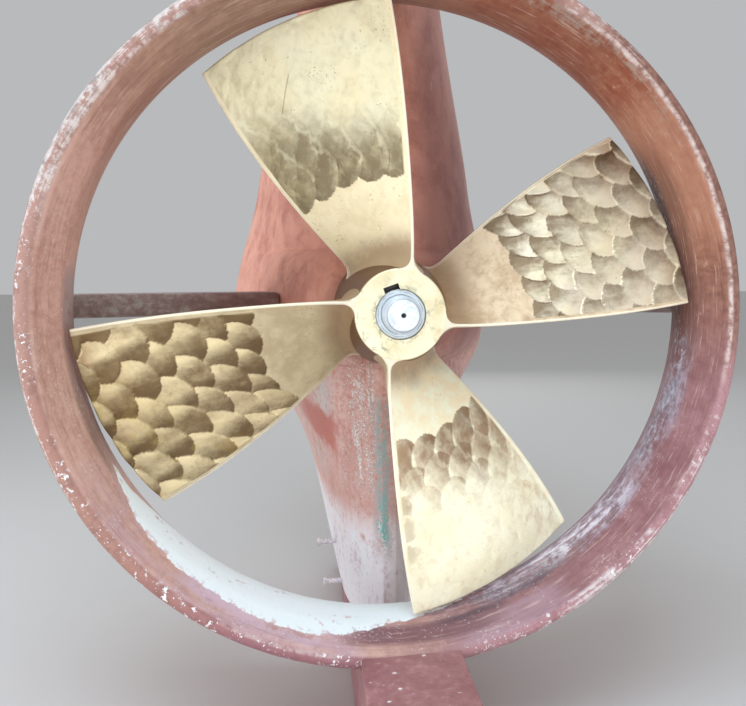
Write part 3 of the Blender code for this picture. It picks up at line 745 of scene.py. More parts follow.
# painted shade: the hub's side between the blades dark brown, its aft face bright
shaded_side_metal = finish.blend(cloud, (104, 76, 56), (140, 108, 80))
face_metal = cloud.tint(0.4, 0.75, HUB_CREAM, (232, 216, 172))
grey_ring = radius.rise(0.052, 0.044) * smear.rise(0.44, 0.62)
low_port = (z * -0.6 - x * 0.8).rise(0.0, 0.05)
grey_cloud = smear.rise(0.53, 0.66) * (finish.noise(where, 17.0, 2.0).rise(0.46, 0.6) * 0.5 + low_port * 0.5)
face_metal = face_metal.covered((grey_ring * 0.7).most(grey_cloud * 0.75), (148, 150, 130))
finish.colour(finish.blend(face, shaded_side_metal, face_metal))
finish.rough(0.5 - face * 0.1 + (cloud - 0.5) * 0.15)
finish.bump(finish.noise(where, 150.0, 4.0, 0.6), 0.0005)
hub.data.materials.append(finish.material)


# Tail shaft
# Steel, ground bright, with a taper in the hub, a threaded end for the nut, a chamfer and a
# centre hole. The key sits in its slot in the taper.

THREAD_PITCH = 0.003
THREAD_DEPTH = 0.0017
THREAD_RADIUS = 0.031
THREAD_START = 0.0032
THREAD_ROWS = 112
SHAFT_FORWARD_END = 0.85
SLOT_START = 0.035
SLOT_LENGTH = 0.12
SLOT_RADIUS = 0.0400
SLOT_HEIGHT = 0.0116
shaft_end = 0.004 - 0.041
stub = [(SHAFT_FORWARD_END, 0.0006), (SHAFT_FORWARD_END, 0.046), (SHAFT_FORWARD_END - 0.003, SHAFT_RADIUS)]
stub += [(HUB_LENGTH, SHAFT_RADIUS), (0.0048, bore_radius(0.0048) - BORE_CLEARANCE),
         (0.004, bore_radius(0.004) - 0.0011), (0.004, 0.0322), (THREAD_START, 0.0312)]
stub += [(THREAD_START + (shaft_end + 0.006 - THREAD_START) * (row + 1) / THREAD_ROWS, THREAD_RADIUS)
         for row in range(THREAD_ROWS)]
stub += [(shaft_end + 0.0022, 0.0272), (shaft_end + 0.0006, 0.0256), (shaft_end, 0.0250),
         (shaft_end, 0.0062), (shaft_end + 0.0003, 0.0046), (shaft_end + 0.008, 0.0006)]
shaft = turned("tail_shaft_turned", stub, segments=128)
points = np.empty(len(shaft.data.vertices) * 3)
shaft.data.vertices.foreach_get("co", points)
points = points.reshape(-1, 3) - np.array(HUB_FACE)
around = np.arctan2(points[:, 2], points[:, 0])
radius = np.hypot(points[:, 0], points[:, 2])
phase = np.mod(points[:, 1] / THREAD_PITCH - around / (2 * math.pi), 1.0)
groove = THREAD_DEPTH * (1 - np.abs(2 * phase - 1))
cut_zone = np.clip((0.0005 - points[:, 1]) / 0.003, 0, 1) * (radius > 0.024) * (points[:, 1] < 0.0031)
scale = (radius - groove * cut_zone) / radius
points[:, 0] *= scale
points[:, 2] *= scale
shaft.data.vertices.foreach_set("co", (points + np.array(HUB_FACE)).ravel())
shaft.data.update()
bpy.ops.object.select_all(action="DESELECT")
bpy.ops.mesh.primitive_cube_add(size=1.0, location=HUB_FACE + Vector((
    SLOT_RADIUS * math.cos(KEY_ANGLE), SLOT_START + SLOT_LENGTH / 2, SLOT_RADIUS * math.sin(KEY_ANGLE))),
    rotation=(-math.atan(1 / TAPER), -KEY_ANGLE + math.pi / 2, 0.0),
    scale=(KEYWAY_WIDTH, SLOT_LENGTH, SLOT_HEIGHT))
cut_out(shaft, bpy.context.object, 30)
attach(shaft, TURNING)
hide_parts("tail_shaft")

finish = Finish("bright_steel", metallic=0.2)
where = finish.place()
x, y, z = finish.parts(where)
radius = (x * x + z * z) ** 0.5
swirl = finish.noise(finish.joined(radius * 520.0, y * 400.0, finish.noise(where, 30.0, 2.0) * 3.0), 1.0, 3.0)
cloud = finish.noise(where, 60.0, 5.0, 0.6, 0.6)
end_face = y.rise(shaft_end + 0.0032, shaft_end + 0.0008)
shoulder = radius.rise(0.0305, 0.0318)
steel = finish.blend(cloud, (226, 234, 240), (182, 194, 206))
steel = steel.covered(shoulder * 0.8, swirl.tint(0.36, 0.50, (140, 154, 166), (228, 238, 244)))
steel = steel.covered(end_face, cloud.tint(0.46, 0.66, (232, 238, 240), (204, 214, 220)))
line = radius.away(0.0264).rise(0.0009, 0.0003)
line = line.most(radius.away(0.0322).rise(0.0011, 0.0004))
line = line.most(radius.away(0.0372).rise(0.0008, 0.0002) * cloud.rise(0.4, 0.6))
steel = steel.covered(line * 0.6, (84, 94, 108))
# painted shade: dark inside the centre hole
hole = radius.rise(0.0044, 0.0034) * y.rise(shaft_end + 0.0002, shaft_end + 0.0012)
steel = steel.covered(hole * 0.9, (60, 60, 66))
finish.colour(steel)
finish.rough(0.34 + swirl * 0.14)
finish.bump(swirl, 0.0003)
shaft.data.materials.append(finish.material)

finish = Finish("milled_key", roughness=0.45, metallic=0.9)
where = finish.place()
finish.colour(finish.blend(finish.noise(where, 80.0), (120, 120, 124), (86, 84, 84)))


def paint_solid(node_name, material):
    """Give a solid that stays in view a material of its own."""
    slots = frame["nodes"][node_name].data.materials
    slots.clear()
    slots.append(material)


paint_solid("shaft_key", finish.material)


# Nozzle
# A ring of rolled plate round the propeller: a half-round bar along its trailing edge, an
# inner plate that narrows to a throat and flares forward, a rolled nose and a straight outer
# plate, welded and ground flush. Old red-brown bottom paint, worn through along the bar.

THROAT = 0.508
FLARE = math.radians(27.0)
FLARE_BEND = 0.20
PLATE = 0.010
BAR_FACE = -0.092
BAR_MIDDLE = 0.535
BAR_HALF = 0.014
BAR_DEPTH = 0.021
NOSE_PLACE = 0.152
NOSE_ROUND = 0.030
NOSE_INSIDE = 0.022
OUTER_START = 0.549
GAP = 0.0003


def flare_point(turn):
    """A point where the inner plate bends out, forward of the throat."""
    return (FLARE_BEND * math.sin(turn), THROAT + FLARE_BEND * (1 - math.cos(turn)))


def beyond_flare(forward):
    """A point of the inner plate's straight part, in front of its bend."""
    bend_end, bend_radius = flare_point(FLARE)
    return (forward, bend_radius + (forward - bend_end) * math.tan(FLARE))


nose_start = beyond_flare(NOSE_PLACE + NOSE_ROUND * math.sin(FLARE))
nose_radius = nose_start[1] + NOSE_ROUND * math.cos(FLARE)
run, climb = NOSE_PLACE - BAR_FACE, nose_radius - OUTER_START
outer_slope = math.atan2(climb, run) + math.asin(NOSE_ROUND / math.hypot(run, climb))


def bar_point(turn):
    """A point of the trailing bar's round side, from its inner edge on."""
    return (BAR_FACE - BAR_DEPTH * math.sin(turn), BAR_MIDDLE - BAR_HALF * math.cos(turn))


def nose_point(turn, radius=NOSE_ROUND):
    """A point of the rolled nose."""
    return (NOSE_PLACE + radius * math.cos(turn), nose_radius + radius * math.sin(turn))


bar_outline = [bar_point(math.pi * step / 20) for step in range(21)]
bar_outline += [(BAR_FACE, 0.547), (BAR_FACE, 0.523), bar_outline[0]]
wet_side = [(BAR_FACE + GAP, 0.521), (-0.061, 0.5146), (-0.040, 0.5100), (-0.030, THROAT + 0.0004),
            (-0.015, THROAT)]
wet_side += [flare_point(FLARE * step / 14) for step in range(15)]
wet_side += [beyond_flare(0.128), nose_start]
dry_side = [(forward, radius + PLATE) for forward, radius in wet_side[::-1]]
plate_outline = wet_side + dry_side + [wet_side[0]]
nose_turns = [FLARE - math.pi / 2 + (outer_slope + math.pi - FLARE) * step / 24 for step in range(25)]
nose_outline = [nose_point(turn) for turn in nose_turns]
nose_outline += [nose_point(turn, NOSE_INSIDE) for turn in nose_turns[::-4]]
nose_outline += [nose_outline[0]]
outer_end = nose_point(outer_slope + math.pi / 2)
outer_inside = nose_point(outer_slope + math.pi / 2, NOSE_INSIDE)


def outer_run(end, steps):
    """Points of the straight outer plate, from the bar to where it meets the nose."""
    start, span = BAR_FACE + GAP, end[0] - BAR_FACE - GAP
    return [(start + span * step / steps, end[1] - span * math.tan(outer_slope) * (1 - step / steps))
            for step in range(steps + 1)]


outer_outline = outer_run(outer_end, 8) + outer_run(outer_inside, 1)[::-1]
outer_outline += [outer_outline[0]]

SECTORS = ("top", "port", "bottom", "starboard")
nozzle = []
for ring_name, outline in (("nozzle_tail_bar", bar_outline), ("nozzle_inner_plate", plate_outline),
                           ("nozzle_nose", nose_outline), ("nozzle_outer_plate", outer_outline)):
    ring = turned(f"{ring_name}_ring", outline, segments=320)
    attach(ring, STERN)
    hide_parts(*[f"{ring_name}_{sector}" for sector in SECTORS])
    nozzle.append(ring)

WALL_TAN = (216, 176, 162)
WALL_SHADE = (128, 88, 74)
WALL_BROWN = (186, 142, 128)
WALL_ORANGE = (156, 88, 66)
WALL_PLUM = (118, 78, 86)
PALE_BLUE = (242, 252, 255)
CHIP_WHITE = (242, 240, 242)

finish = Finish("worn_bottom_paint_with_painted_shade_and_highlight")
where = finish.place()
x, y, z = finish.parts(where)
radius = (x * x + z * z) ** 0.5
east, up = x / radius, z / radius
turn = z.maths("ARCTAN2", z, x)
section = y + radius * 1.4
ring_place = finish.joined(east * 0.53, section, up * 0.53)
streaks = finish.noise(finish.joined(east * 3.4, section * 70.0, up * 3.4), 1.0, 6.0, 0.62)
scratches = finish.noise(finish.joined(east * 9.0, section * 260.0, up * 9.0), 1.0, 4.0, 0.6)
blotch = finish.noise(ring_place, 7.0, 6.0, 0.62, 0.3)
patches = finish.noise(ring_place, 17.0, 6.0, 0.66, 0.5)
grain = finish.noise(ring_place, 75.0, 5.0, 0.68)


def facing(angle):
    """1 towards an angle seen from astern, -1 on the far side."""
    return east * math.cos(math.radians(angle)) + up * math.sin(math.radians(angle))


# the wall's tones, by where they lie round the ring, painted shadows beside the blade tips,
# painted shade at the top, and its scratches
mixed = streaks * 0.25 + grain * 0.4 + blotch * 0.35
wall = mixed.tint(0.36, 0.60, WALL_BROWN, WALL_TAN)
top_wall = (streaks * 0.5 + patches * 0.3 + grain * 0.2).tint(0.38, 0.66, (146, 110, 94), (188, 150, 130))
wall = wall.covered(facing(104).rise(0.62, 0.96), top_wall)
wall = wall.covered(facing(8).rise(0.80, 0.97), mixed.tint(0.38, 0.60, (128, 84, 72), (166, 118, 102)))
wall = wall.covered(facing(48).rise(0.72, 0.92), mixed.tint(0.42, 0.62, WALL_ORANGE, (184, 130, 102)))
wall = wall.covered(facing(28).rise(0.95, 0.99) * 0.5, (204, 152, 128))
wall = wall.covered(facing(64).rise(0.95, 0.99) * 0.5, (132, 76, 60))
rose_wall = (mixed * 0.6 + patches * 0.4).tint(0.38, 0.62, (138, 94, 98), (170, 128, 132))
wall = wall.covered(facing(-46).rise(0.60, 0.90), rose_wall)
lilac = facing(-122).rise(0.80, 0.97) * (streaks * 0.5 + patches * 0.5).rise(0.36, 0.6)
wall = wall.covered(lilac * 0.75, (192, 160, 176))
plum = facing(-87).rise(0.955, 0.99) * y.beside(-0.060, 0.014, 0.016) * (patches * 0.4 + 0.4).rise(0.3, 0.6)
wall = wall.covered(facing(-71).rise(0.97, 0.995) * y.rise(-0.045, -0.060) * 0.6, (176, 146, 160))
wall = wall.covered(plum * 0.85, WALL_PLUM)
throat_wash = facing(-44).rise(0.72, 0.92) * (y + (streaks - 0.5) * 0.05).rise(-0.048, -0.020)
throat_wash = throat_wash * (blotch * 0.6 + streaks * 0.4).rise(0.40, 0.58)
wall = wall.covered(throat_wash * 0.8,
                    (patches * 0.4 + grain * 0.6).tint(0.40, 0.56, (128, 112, 122), (182, 174, 192)))
# painted shadow of the starboard blade's tip on the wall, from the throat forward
throat_shadow = facing(12).rise(0.90, 0.98) * (y + (streaks - 0.5) * 0.03).rise(-0.055, -0.020)
wall = wall.covered(throat_shadow * 0.6, (104, 70, 62))
# painted shadow beside the port blade's tips
port_tip_shadow = facing(-170).rise(0.93, 0.985) * (y + (grain - 0.5) * 0.02).rise(-0.034, -0.014)
wall = wall.covered(port_tip_shadow * 0.55, (100, 80, 76))
# painted shadow, darker, beside the starboard blade's tip further forward
tip_shadow = facing(14).rise(0.93, 0.985) * (y + (grain - 0.5) * 0.02).rise(0.0, 0.035)
wall = wall.covered(tip_shadow * 0.8, grain.tint(0.52, 0.62, (66, 54, 54), (150, 140, 138)))
# painted shade on the upper wall towards port, forward of the bar
shade = facing(118).rise(0.50, 0.96) * (y + (streaks - 0.5) * 0.03).rise(-0.050, -0.005)
wall = wall.covered(shade * 0.60, WALL_SHADE)
weathered = (facing(52).rise(0.93, 0.98) * y.rise(-0.070, -0.086)
             * (streaks * 0.5 + grain * 0.5).rise(0.46, 0.58))
wall = wall.covered(weathered * 0.6, (176, 160, 150))
wall = wall.covered(scratches.rise(0.56, 0.70) * 0.42, (222, 196, 186))
wall = wall.covered(scratches.rise(0.44, 0.32) * 0.30, (108, 72, 66))
wall = wall.covered((grain * 0.5 + patches * 0.5).rise(0.60, 0.68) * 0.35, (230, 210, 200))
wall = wall.covered((grain * 0.5 + patches * 0.5).rise(0.38, 0.32) * 0.30, (110, 80, 74))

# the patch of pale paint at port below, with its wavy edge along the bar
patch_edge = finish.node("ShaderNodeValToRGB", {"stops": [
    (0.0, 1.0), (0.08, 0.62), (0.16, 0.40), (0.30, 0.27), (0.45, 0.20), (0.60, 0.13), (0.70, 0.24),
    (0.82, 0.55), (0.90, 0.68), (1.0, 0.95)]},
    {"Fac": finish.node("ShaderNodeMapRange", {"interpolation_type": "LINEAR"}, {
        "Value": turn, "From Min": math.radians(-156), "From Max": math.radians(-76)})})
patch_line = (finish.node("ShaderNodeRGBToBW", None, {0: patch_edge}) * 0.12 - 0.09
              + (patches - 0.5) * 0.035 + (grain - 0.5) * 0.016)
in_turn = turn.rise(math.radians(-157), math.radians(-153)) * turn.rise(math.radians(-75), math.radians(-79))
far_line = 0.012 + turn.rise(math.radians(-152), math.radians(-128)) * 0.075 + (patches - 0.5) * 0.03
patch = (y - patch_line).rise(-0.001, 0.003) * in_turn * (y - far_line).rise(0.004, -0.004)
patch_edge_wear = (y - patch_line).rise(0.014, 0.002) * grain.rise(0.50, 0.60)
thin = (patches * 0.5 + grain * 0.5).rise(0.57, 0.63)
wall = wall.covered(patch * (1.0 - thin * 0.75) * (1.0 - patch_edge_wear * 0.6), finish.blend(
    (streaks * 0.6 + grain * 0.4).rise(0.60, 0.70) * 0.5, PALE_BLUE, (176, 186, 200)))

# wear, smears beside the patch and the rub by the strut
worn_starboard = (y.beside(0.020, 0.018, 0.020) * facing(-18).rise(0.955, 0.985)
                  * (streaks * 0.35 + grain * 0.35 + patches * 0.3).rise(0.46, 0.54))
wall = wall.covered(worn_starboard * 0.8, grain.tint(0.44, 0.62, (132, 138, 152), (190, 192, 204)))
worn_low = (y.beside(0.025, 0.030, 0.03) * facing(-58).rise(0.90, 0.97)
            * (streaks * 0.4 + patches * 0.4 + grain * 0.2).rise(0.46, 0.56))
wall = wall.covered(worn_low * 0.85, grain.tint(0.4, 0.6, (204, 192, 214), (236, 234, 244)))
dark_low = (y.beside(-0.018, 0.024, 0.02) * facing(-71).rise(0.955, 0.99)
            * (streaks * 0.6 + patches * 0.4).rise(0.42, 0.56))
wall = wall.covered(dark_low * 0.8, (84, 60, 74))
lilac_smear = (turn.beside(math.radians(-117), math.radians(9), math.radians(8))
               * (y - patch_line).rise(-0.050, -0.004) * (streaks * 0.5 + grain * 0.5).rise(0.38, 0.56))
wall = wall.covered(lilac_smear * 0.7 * (1.0 - patch), (214, 190, 206))
strut_rub = (facing(177).rise(0.994, 0.9985) * y.rise(-0.035, 0.0)
             * (grain * 0.5 + patches * 0.5).rise(0.38, 0.50))
wall = wall.covered(strut_rub * 0.75, (166, 156, 158))

# the outer plate and the nose
outside = (radius - 0.5475 - (y + 0.092) * 0.193).rise(-0.002, 0.004)
outside_paint = (blotch * 0.5 + patches * 0.3 + streaks * 0.2).tint(0.38, 0.62, (150, 102, 92), (190, 142, 128))
outside_paint = outside_paint.covered(facing(-70).rise(0.10, 0.90) * 0.6, (150, 108, 116))
outside_wear = ((streaks * 0.4 + patches * 0.4 + grain * 0.2).rise(0.53, 0.66)
                * (0.25 + facing(-90).rise(-0.2, 0.9) * 0.5))
outside_paint = outside_paint.covered(outside_wear, (196, 180, 178))
wall = wall.covered(outside, outside_paint)

# the bar, scraped pale along its crown, with chips down to white, painted shade on its outer
# flank and underside and a painted highlight along its ridge
crown_zone = radius.rise(0.5235, 0.5275) * y.rise(-0.086, -0.094)
crown_patches = finish.noise(where, 19.0, 6.0, 0.66, 0.5)
crown_grain = finish.noise(where, 80.0, 5.0, 0.68)
crown = facing(-36).tint(0.35, 0.85, (172, 132, 121), (172, 126, 132))
crown = crown.covered(facing(26).rise(0.76, 0.94), (144, 102, 89))
crown = crown.covered(facing(-110).rise(0.82, 0.97), (158, 107, 114))
crown = crown.covered(facing(-148).rise(0.86, 0.97) * 0.6, (170, 122, 108))
crown = crown.covered((crown_patches * 0.5 + crown_grain * 0.5).rise(0.52, 0.38) * 0.5, (126, 88, 82))
crown_streaks = finish.noise(finish.joined(east * 2.6, radius * 330.0, up * 2.6), 1.0, 5.0, 0.62)
outer_side = radius.rise(0.5380, 0.5420)
weather_side = facing(140).rise(0.88, 0.98)
scraping = (weather_side * 0.34 + facing(-42).rise(0.84, 0.99) * 0.30 + facing(62).rise(0.94, 0.99) * 0.24
            + outer_side * (facing(174).rise(0.60, 0.90) * 0.22 + facing(-60).rise(0.80, 0.97) * 0.22) + 0.06)
scraped = (crown_streaks * 0.42 + crown_patches * 0.38 + crown_grain * 0.36 + scraping * 0.40).rise(0.70, 0.79)
pale_scrape = (crown_grain * 0.6 + crown_streaks * 0.4).tint(0.40, 0.58, (164, 152, 152), (214, 202, 202))
pale_scrape = pale_scrape.covered(weather_side * 0.5,
                                  crown_grain.tint(0.42, 0.56, (122, 117, 106), (202, 196, 190)))
crown = crown.covered(scraped * 0.9, pale_scrape)
# painted shade on the bar's outer flank, which faces away from the light
flank_shade = radius.rise(0.5290, 0.5330) * facing(24).rise(0.80, 0.93)
crown = crown.covered(flank_shade * 0.75, crown_grain.tint(0.40, 0.60, (104, 66, 56), (140, 98, 84)))
# painted shadow along the bar's outer underside
underside_shadow = radius.rise(0.5440, 0.5475) * (facing(-148).rise(0.78, 0.96) * 0.7 + 0.15)
crown = crown.covered(underside_shadow, (96, 70, 70))
paint = finish.blend(crown_zone, wall, crown)
# painted highlight: a pale line along the bar's ridge
ridge_highlight_place = (facing(24).rise(0.76, 0.90) + facing(-112).rise(0.975, 0.995) * 0.6
               + facing(146).rise(0.94, 0.98) * 0.7)
ridge = ((radius + (crown_patches - 0.5) * 0.005).beside(0.5280, 0.0008, 0.0034) * y.rise(-0.088, -0.098)
         * ridge_highlight_place * (crown_patches * 0.4 + crown_grain * 0.6).rise(0.38, 0.56))
paint = paint.covered(ridge * 0.80, (222, 206, 200))
fleck = finish.noise(where, 190.0, 3.0, 0.6).rise(0.590, 0.625) * patches.rise(0.47, 0.57)
coarse_fleck = finish.noise(where, 96.0, 3.0, 0.6).rise(0.610, 0.635) * blotch.rise(0.44, 0.56)
chip = (fleck * (crown_zone * 0.6 + 0.3)).most(coarse_fleck * crown_zone) * facing(-112).rise(-0.30, 0.45)
paint = paint.covered(chip, CHIP_WHITE)
finish.colour(paint)
finish.rough(0.56 + (grain - 0.5) * 0.3 - scraped * crown_zone * 0.1)
finish.bump(grain * 0.6 + streaks * 0.3 + patches * 0.6 + patch * (1.0 - outside) * 0.4 - chip * 0.3, 0.0016)
for ring in nozzle:
    ring.data.materials.append(finish.material)


# Stern boss and skeg
# Hollow plating in the real vessel, faired in one smooth form: full at the shaft, narrow at
# the foot and drawn to a blunt aft edge, round the boss that carries the stern tube.

SKEG_AFT = 0.20
SKEG_LENGTH = 0.55
SKEG_WIDTHS = ((-0.64, 0.086), (-0.52, 0.119), (-0.39, 0.149), (-0.28, 0.194),
               (-0.21, 0.252), (-0.14, 0.298), (-0.05, 0.318), (0.03, 0.330),
               (0.23, 0.280), (0.33, 0.262), (0.54, 0.218), (0.66, 0.194))
SKEG_BLUNTNESS = ((-0.64, 1.0), (-0.52, 0.7), (-0.36, 0.45), (-0.24, 0.2),
                  (-0.10, 0.0), (0.02, 0.0), (0.20, 0.3), (0.66, 0.3))
BOSS_RADIUS = 0.118
AFT_EDGE = 0.012
TUBE_RADIUS = 0.0703
seat_height = -HUB_FACE.z


def faired(stations, height):
    """A value at a height, read smoothly between stations."""
    places = np.array([place for place, value in stations])
    marks = np.array([value for place, value in stations])
    slopes = np.gradient(marks, places)
    slopes[1:-1] = (marks[2:] - marks[:-2]) / (places[2:] - places[:-2])
    index = np.clip(np.searchsorted(places, height) - 1, 0, len(places) - 2)
    span = places[index + 1] - places[index]
    share = (height - places[index]) / span
    start = (1 + 2 * share) * (1 - share) ** 2
    bend = slopes[index] * share * (1 - share) ** 2 - slopes[index + 1] * share ** 2 * (1 - share)
    return marks[index] * start + marks[index + 1] * (1 - start) + bend * span


def skeg_half_width(forward, height):
    """Half the skeg's width: the boss's round or a blunt edge aft, faired out to full width."""
    square = BOSS_RADIUS ** 2 - height ** 2
    aft = np.maximum(np.sqrt(np.maximum(square, 0.0)), AFT_EDGE)
    share = np.clip((forward - SKEG_AFT) / SKEG_LENGTH, 0.0, 1.0)
    wedge = share ** 0.6
    fullness = wedge + (1 - (1 - share) ** 5 - wedge) * faired(SKEG_BLUNTNESS, height)
    return aft + (faired(SKEG_WIDTHS, height) - aft) * fullness


levels = np.concatenate([np.linspace(-0.64, -0.14, 56), np.linspace(-0.135, 0.135, 46),
                         np.linspace(0.14, seat_height, 50)])
stations = SKEG_AFT + SKEG_LENGTH * np.linspace(0.0, 1.0, 60) ** 1.9
place, level = np.meshgrid(stations, levels)
widths = skeg_half_width(place, level)
port_side = np.stack([-widths, place, level], axis=-1)
starboard_side = np.stack([widths, place, level], axis=-1)[:, ::-1]
outline_points = np.concatenate([port_side, starboard_side], axis=1)
ring_points = outline_points.shape[1]
foot = list(range(ring_points))
seat = [(len(levels) - 1) * ring_points + index for index in foot]
skeg = skinned("skeg_plating", outline_points, (foot, seat))
edit(skeg)
close_edit(32.0)


def round_edges(piece, width, segments, angle):
    """Give a piece a bevel along its edges sharper than an angle."""
    bevel = piece.modifiers.new("round_edges", "BEVEL")
    bevel.width = width
    bevel.segments = segments
    bevel.limit_method = "ANGLE"
    bevel.angle_limit = math.radians(angle)


round_edges(skeg, 0.006, 3, 50)
cut_out(skeg, turned("bore_block", [(0.1, TUBE_RADIUS), (0.95, TUBE_RADIUS)], segments=160), 32)
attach(skeg, STERN)
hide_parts("skeg_upper", "stern_boss", "skeg_lower")

SALMON = (236, 170, 148)
MAROON = (196, 126, 110)
WASH = (206, 206, 204)

finish = Finish("skeg_paint_worn_with_painted_shade")
where = finish.place()
x, y, z = finish.parts(where)
blotch = finish.noise(where, 6.0, 6.0, 0.62, 0.4)
patches = finish.noise(where, 24.0, 6.0, 0.66, 0.4)
drip = finish.noise(finish.place((60.0, 60.0, 7.0)), 1.0, 5.0, 0.6)
fine_drip = finish.noise(finish.place((190.0, 190.0, 30.0)), 1.0, 3.0, 0.6)
grain = finish.noise(where, 95.0, 5.0, 0.68)
crumb = finish.noise(where, 230.0, 3.0, 0.65)
# salmon above, painted shade darker to starboard, paler and washed below the boss
paint = (blotch * 0.6 + patches * 0.4).tint(0.36, 0.60, MAROON, SALMON)
paint = paint.covered(x.rise(0.02, 0.10) * 0.7, blotch.tint(0.35, 0.65, (128, 82, 80), (150, 100, 96)))
lower = z.rise(-0.02, -0.16)
low_paint = (grain * 0.5 + drip * 0.2 + patches * 0.3).tint(0.38, 0.60, (208, 144, 130), (240, 204, 194))
low_paint = low_paint.covered(z.rise(-0.20, -0.40) * 0.5, (214, 168, 160))
paint = paint.covered(lower * 0.9, low_paint)
wash = lower * x.rise(-0.085, -0.12) * z.rise(-0.30, -0.20) * (drip * 0.6 + grain * 0.4).rise(0.40, 0.58)
wash = wash.most(z.beside(-0.30, 0.05, 0.05) * x.rise(-0.10, -0.13)
                 * (drip * 0.6 + grain * 0.4).rise(0.44, 0.6) * 0.8)
paint = paint.covered(wash * 0.8, WASH)
red_patch = ((z + x * 0.7 + (patches - 0.5) * 0.05).beside(-0.340, 0.026, 0.022)
             * (x + (patches - 0.5) * 0.02).rise(-0.088, -0.106) * x.rise(-0.190, -0.160)
             * (y + (blotch - 0.5) * 0.16).rise(0.52, 0.40))
paint = paint.covered(red_patch * (patches + 0.3).rise(0.5, 0.75) * 0.9, (200, 118, 104))
lilac_part = (z + (patches - 0.5) * 0.05).rise(-0.475, -0.495)
paint = paint.covered(lilac_part * 0.85,
                      (drip * 0.5 + grain * 0.5).tint(0.4, 0.6, (206, 186, 198), (228, 222, 238)))
blue_patch = (y.rise(0.60, 0.50) * (x + (patches - 0.5) * 0.05).beside(-0.050, 0.006, 0.016)
              * (z + (blotch - 0.5) * 0.10).beside(-0.500, 0.020, 0.030)
              * (grain * 0.5 + patches * 0.5).rise(0.42, 0.52))
paint = paint.covered(blue_patch, (224, 244, 250))
pale_low = ((z + (drip - 0.5) * 0.10).rise(-0.38, -0.46)
            * (patches * 0.4 + grain * 0.3 + drip * 0.3).rise(0.33, 0.50))
paint = paint.covered(pale_low * 0.85, (248, 250, 255))
# stains and crust along the aft edge, then scratches and grime
edge_near = y.rise(0.228, 0.206)
weathered = (edge_near * z.beside(-0.330, 0.140, 0.04) * x.beside(-0.014, 0.018, 0.014)
             * (drip * 0.5 + crumb * 0.5).rise(0.40, 0.54))
paint = paint.covered(weathered * 0.6, (176, 170, 174))
teal = (edge_near * z.beside(-0.320, 0.125, 0.03) * (x + (patches - 0.5) * 0.02).beside(-0.012, 0.007, 0.007)
        * (drip * 0.35 + crumb * 0.4 + patches * 0.25).rise(0.465, 0.505))
bright_teal = z.rise(-0.36, -0.39)
paint = paint.covered(teal * 0.9,
                      finish.blend((bright_teal * 0.6 + 0.4) * grain.rise(0.36, 0.56), (170, 176, 178),
                                   (104, 190, 184)))
high_teal = (patches * 0.5 + drip * 0.5).rise(0.58, 0.66) * z.beside(0.19, 0.03, 0.03) * x.rise(-0.24, -0.27)
paint = paint.covered(high_teal * 0.8, (170, 196, 190))
bead = ((crumb * 0.7 + drip * 0.3).rise(0.505, 0.55) * x.beside(-0.056, 0.020, 0.018)
        * z.rise(-0.07, -0.11) * z.rise(-0.42, -0.30) * patches.rise(0.38, 0.50))
paint = paint.covered(bead * 0.92, (252, 244, 242))
scratch = fine_drip.rise(0.62, 0.72) * patches.rise(0.50, 0.62)
paint = paint.covered(scratch * 0.6, WASH)
paint = paint.covered(grain.rise(0.40, 0.28) * 0.35, (116, 76, 72))
finish.colour(paint)
finish.rough(0.58 + (grain - 0.5) * 0.3)
finish.bump(grain * 0.5 + drip * 0.3 + patches * 0.5 + bead * 0.8 + wash * 0.2, 0.0018)
skeg_finish = finish.material
skeg.data.materials.append(skeg_finish)
paint_solid("stern_tube", skeg_finish)

finish = Finish("bearing_bronze_dull", roughness=0.45, metallic=0.8)
where = finish.place()
finish.colour(finish.blend(finish.noise(where, 40.0), (150, 118, 70), (112, 84, 52)))
paint_solid("stern_bearing", finish.material)


# Struts
# Two flat bars of steel, one on each side, with their edges ground round for the water. They
# are welded from the boss out to the nozzle's nose and painted with it.


def softened_copy(node_name, piece_name, width, angle):
    """Stand a copy of a solid in its place, with flat faces merged and edges rounded."""
    source = frame["nodes"][node_name]
    piece = source.copy()
    piece.data = source.data.copy()
    piece.name = piece_name
    for key in list(piece.keys()):
        del piece[key]
    piece.parent = None
    piece.data.materials.clear()
    bpy.context.scene.collection.objects.link(piece)
    edit(piece)
    bpy.ops.mesh.select_all(action="SELECT")
    bpy.ops.mesh.remove_doubles(threshold=MERGE_DISTANCE)
    bpy.ops.mesh.dissolve_limited(angle_limit=math.radians(1.0))
    close_edit(30.0)
    round_edges(piece, width, 5, angle)
    settle(piece, 35)
    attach(piece, STERN)
    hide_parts(node_name)
    return piece


struts = [softened_copy(f"strut_{side_name}", f"strut_bar_{side_name}", 0.009, 60)
          for side_name in ("port", "starboard")]

finish = Finish("strut_paint_worn")
where = finish.place()
grain = finish.noise(where, 70.0, 5.0, 0.65)
run = finish.noise(finish.place((14.0, 60.0, 60.0)), 1.0, 5.0, 0.6)
x, y, z = finish.parts(where)
outward = x.maths("ABSOLUTE", x).rise(0.30, 0.47)
paint = run.tint(0.35, 0.65, (118, 88, 84), (146, 116, 110))
paint = paint.covered(outward * 0.6, grain.tint(0.38, 0.62, (176, 162, 158), (212, 204, 202)))
worn = (run * 0.6 + grain * 0.4).rise(0.52, 0.62) * (outward + 0.15)
paint = paint.covered(worn * 0.8, (196, 198, 196))
finish.colour(paint)
finish.rough(0.55 + (grain - 0.5) * 0.3)
finish.bump(grain * 0.5 + worn * 0.3, 0.001)
for strut in struts:
    strut.data.materials.append(finish.material)


# Sole piece and head box
# Boxes of welded plate below and above the nozzle. The sole piece carries the nozzle's foot
# and runs aft under the propeller to a rounded end; the head box holds the nozzle from above.

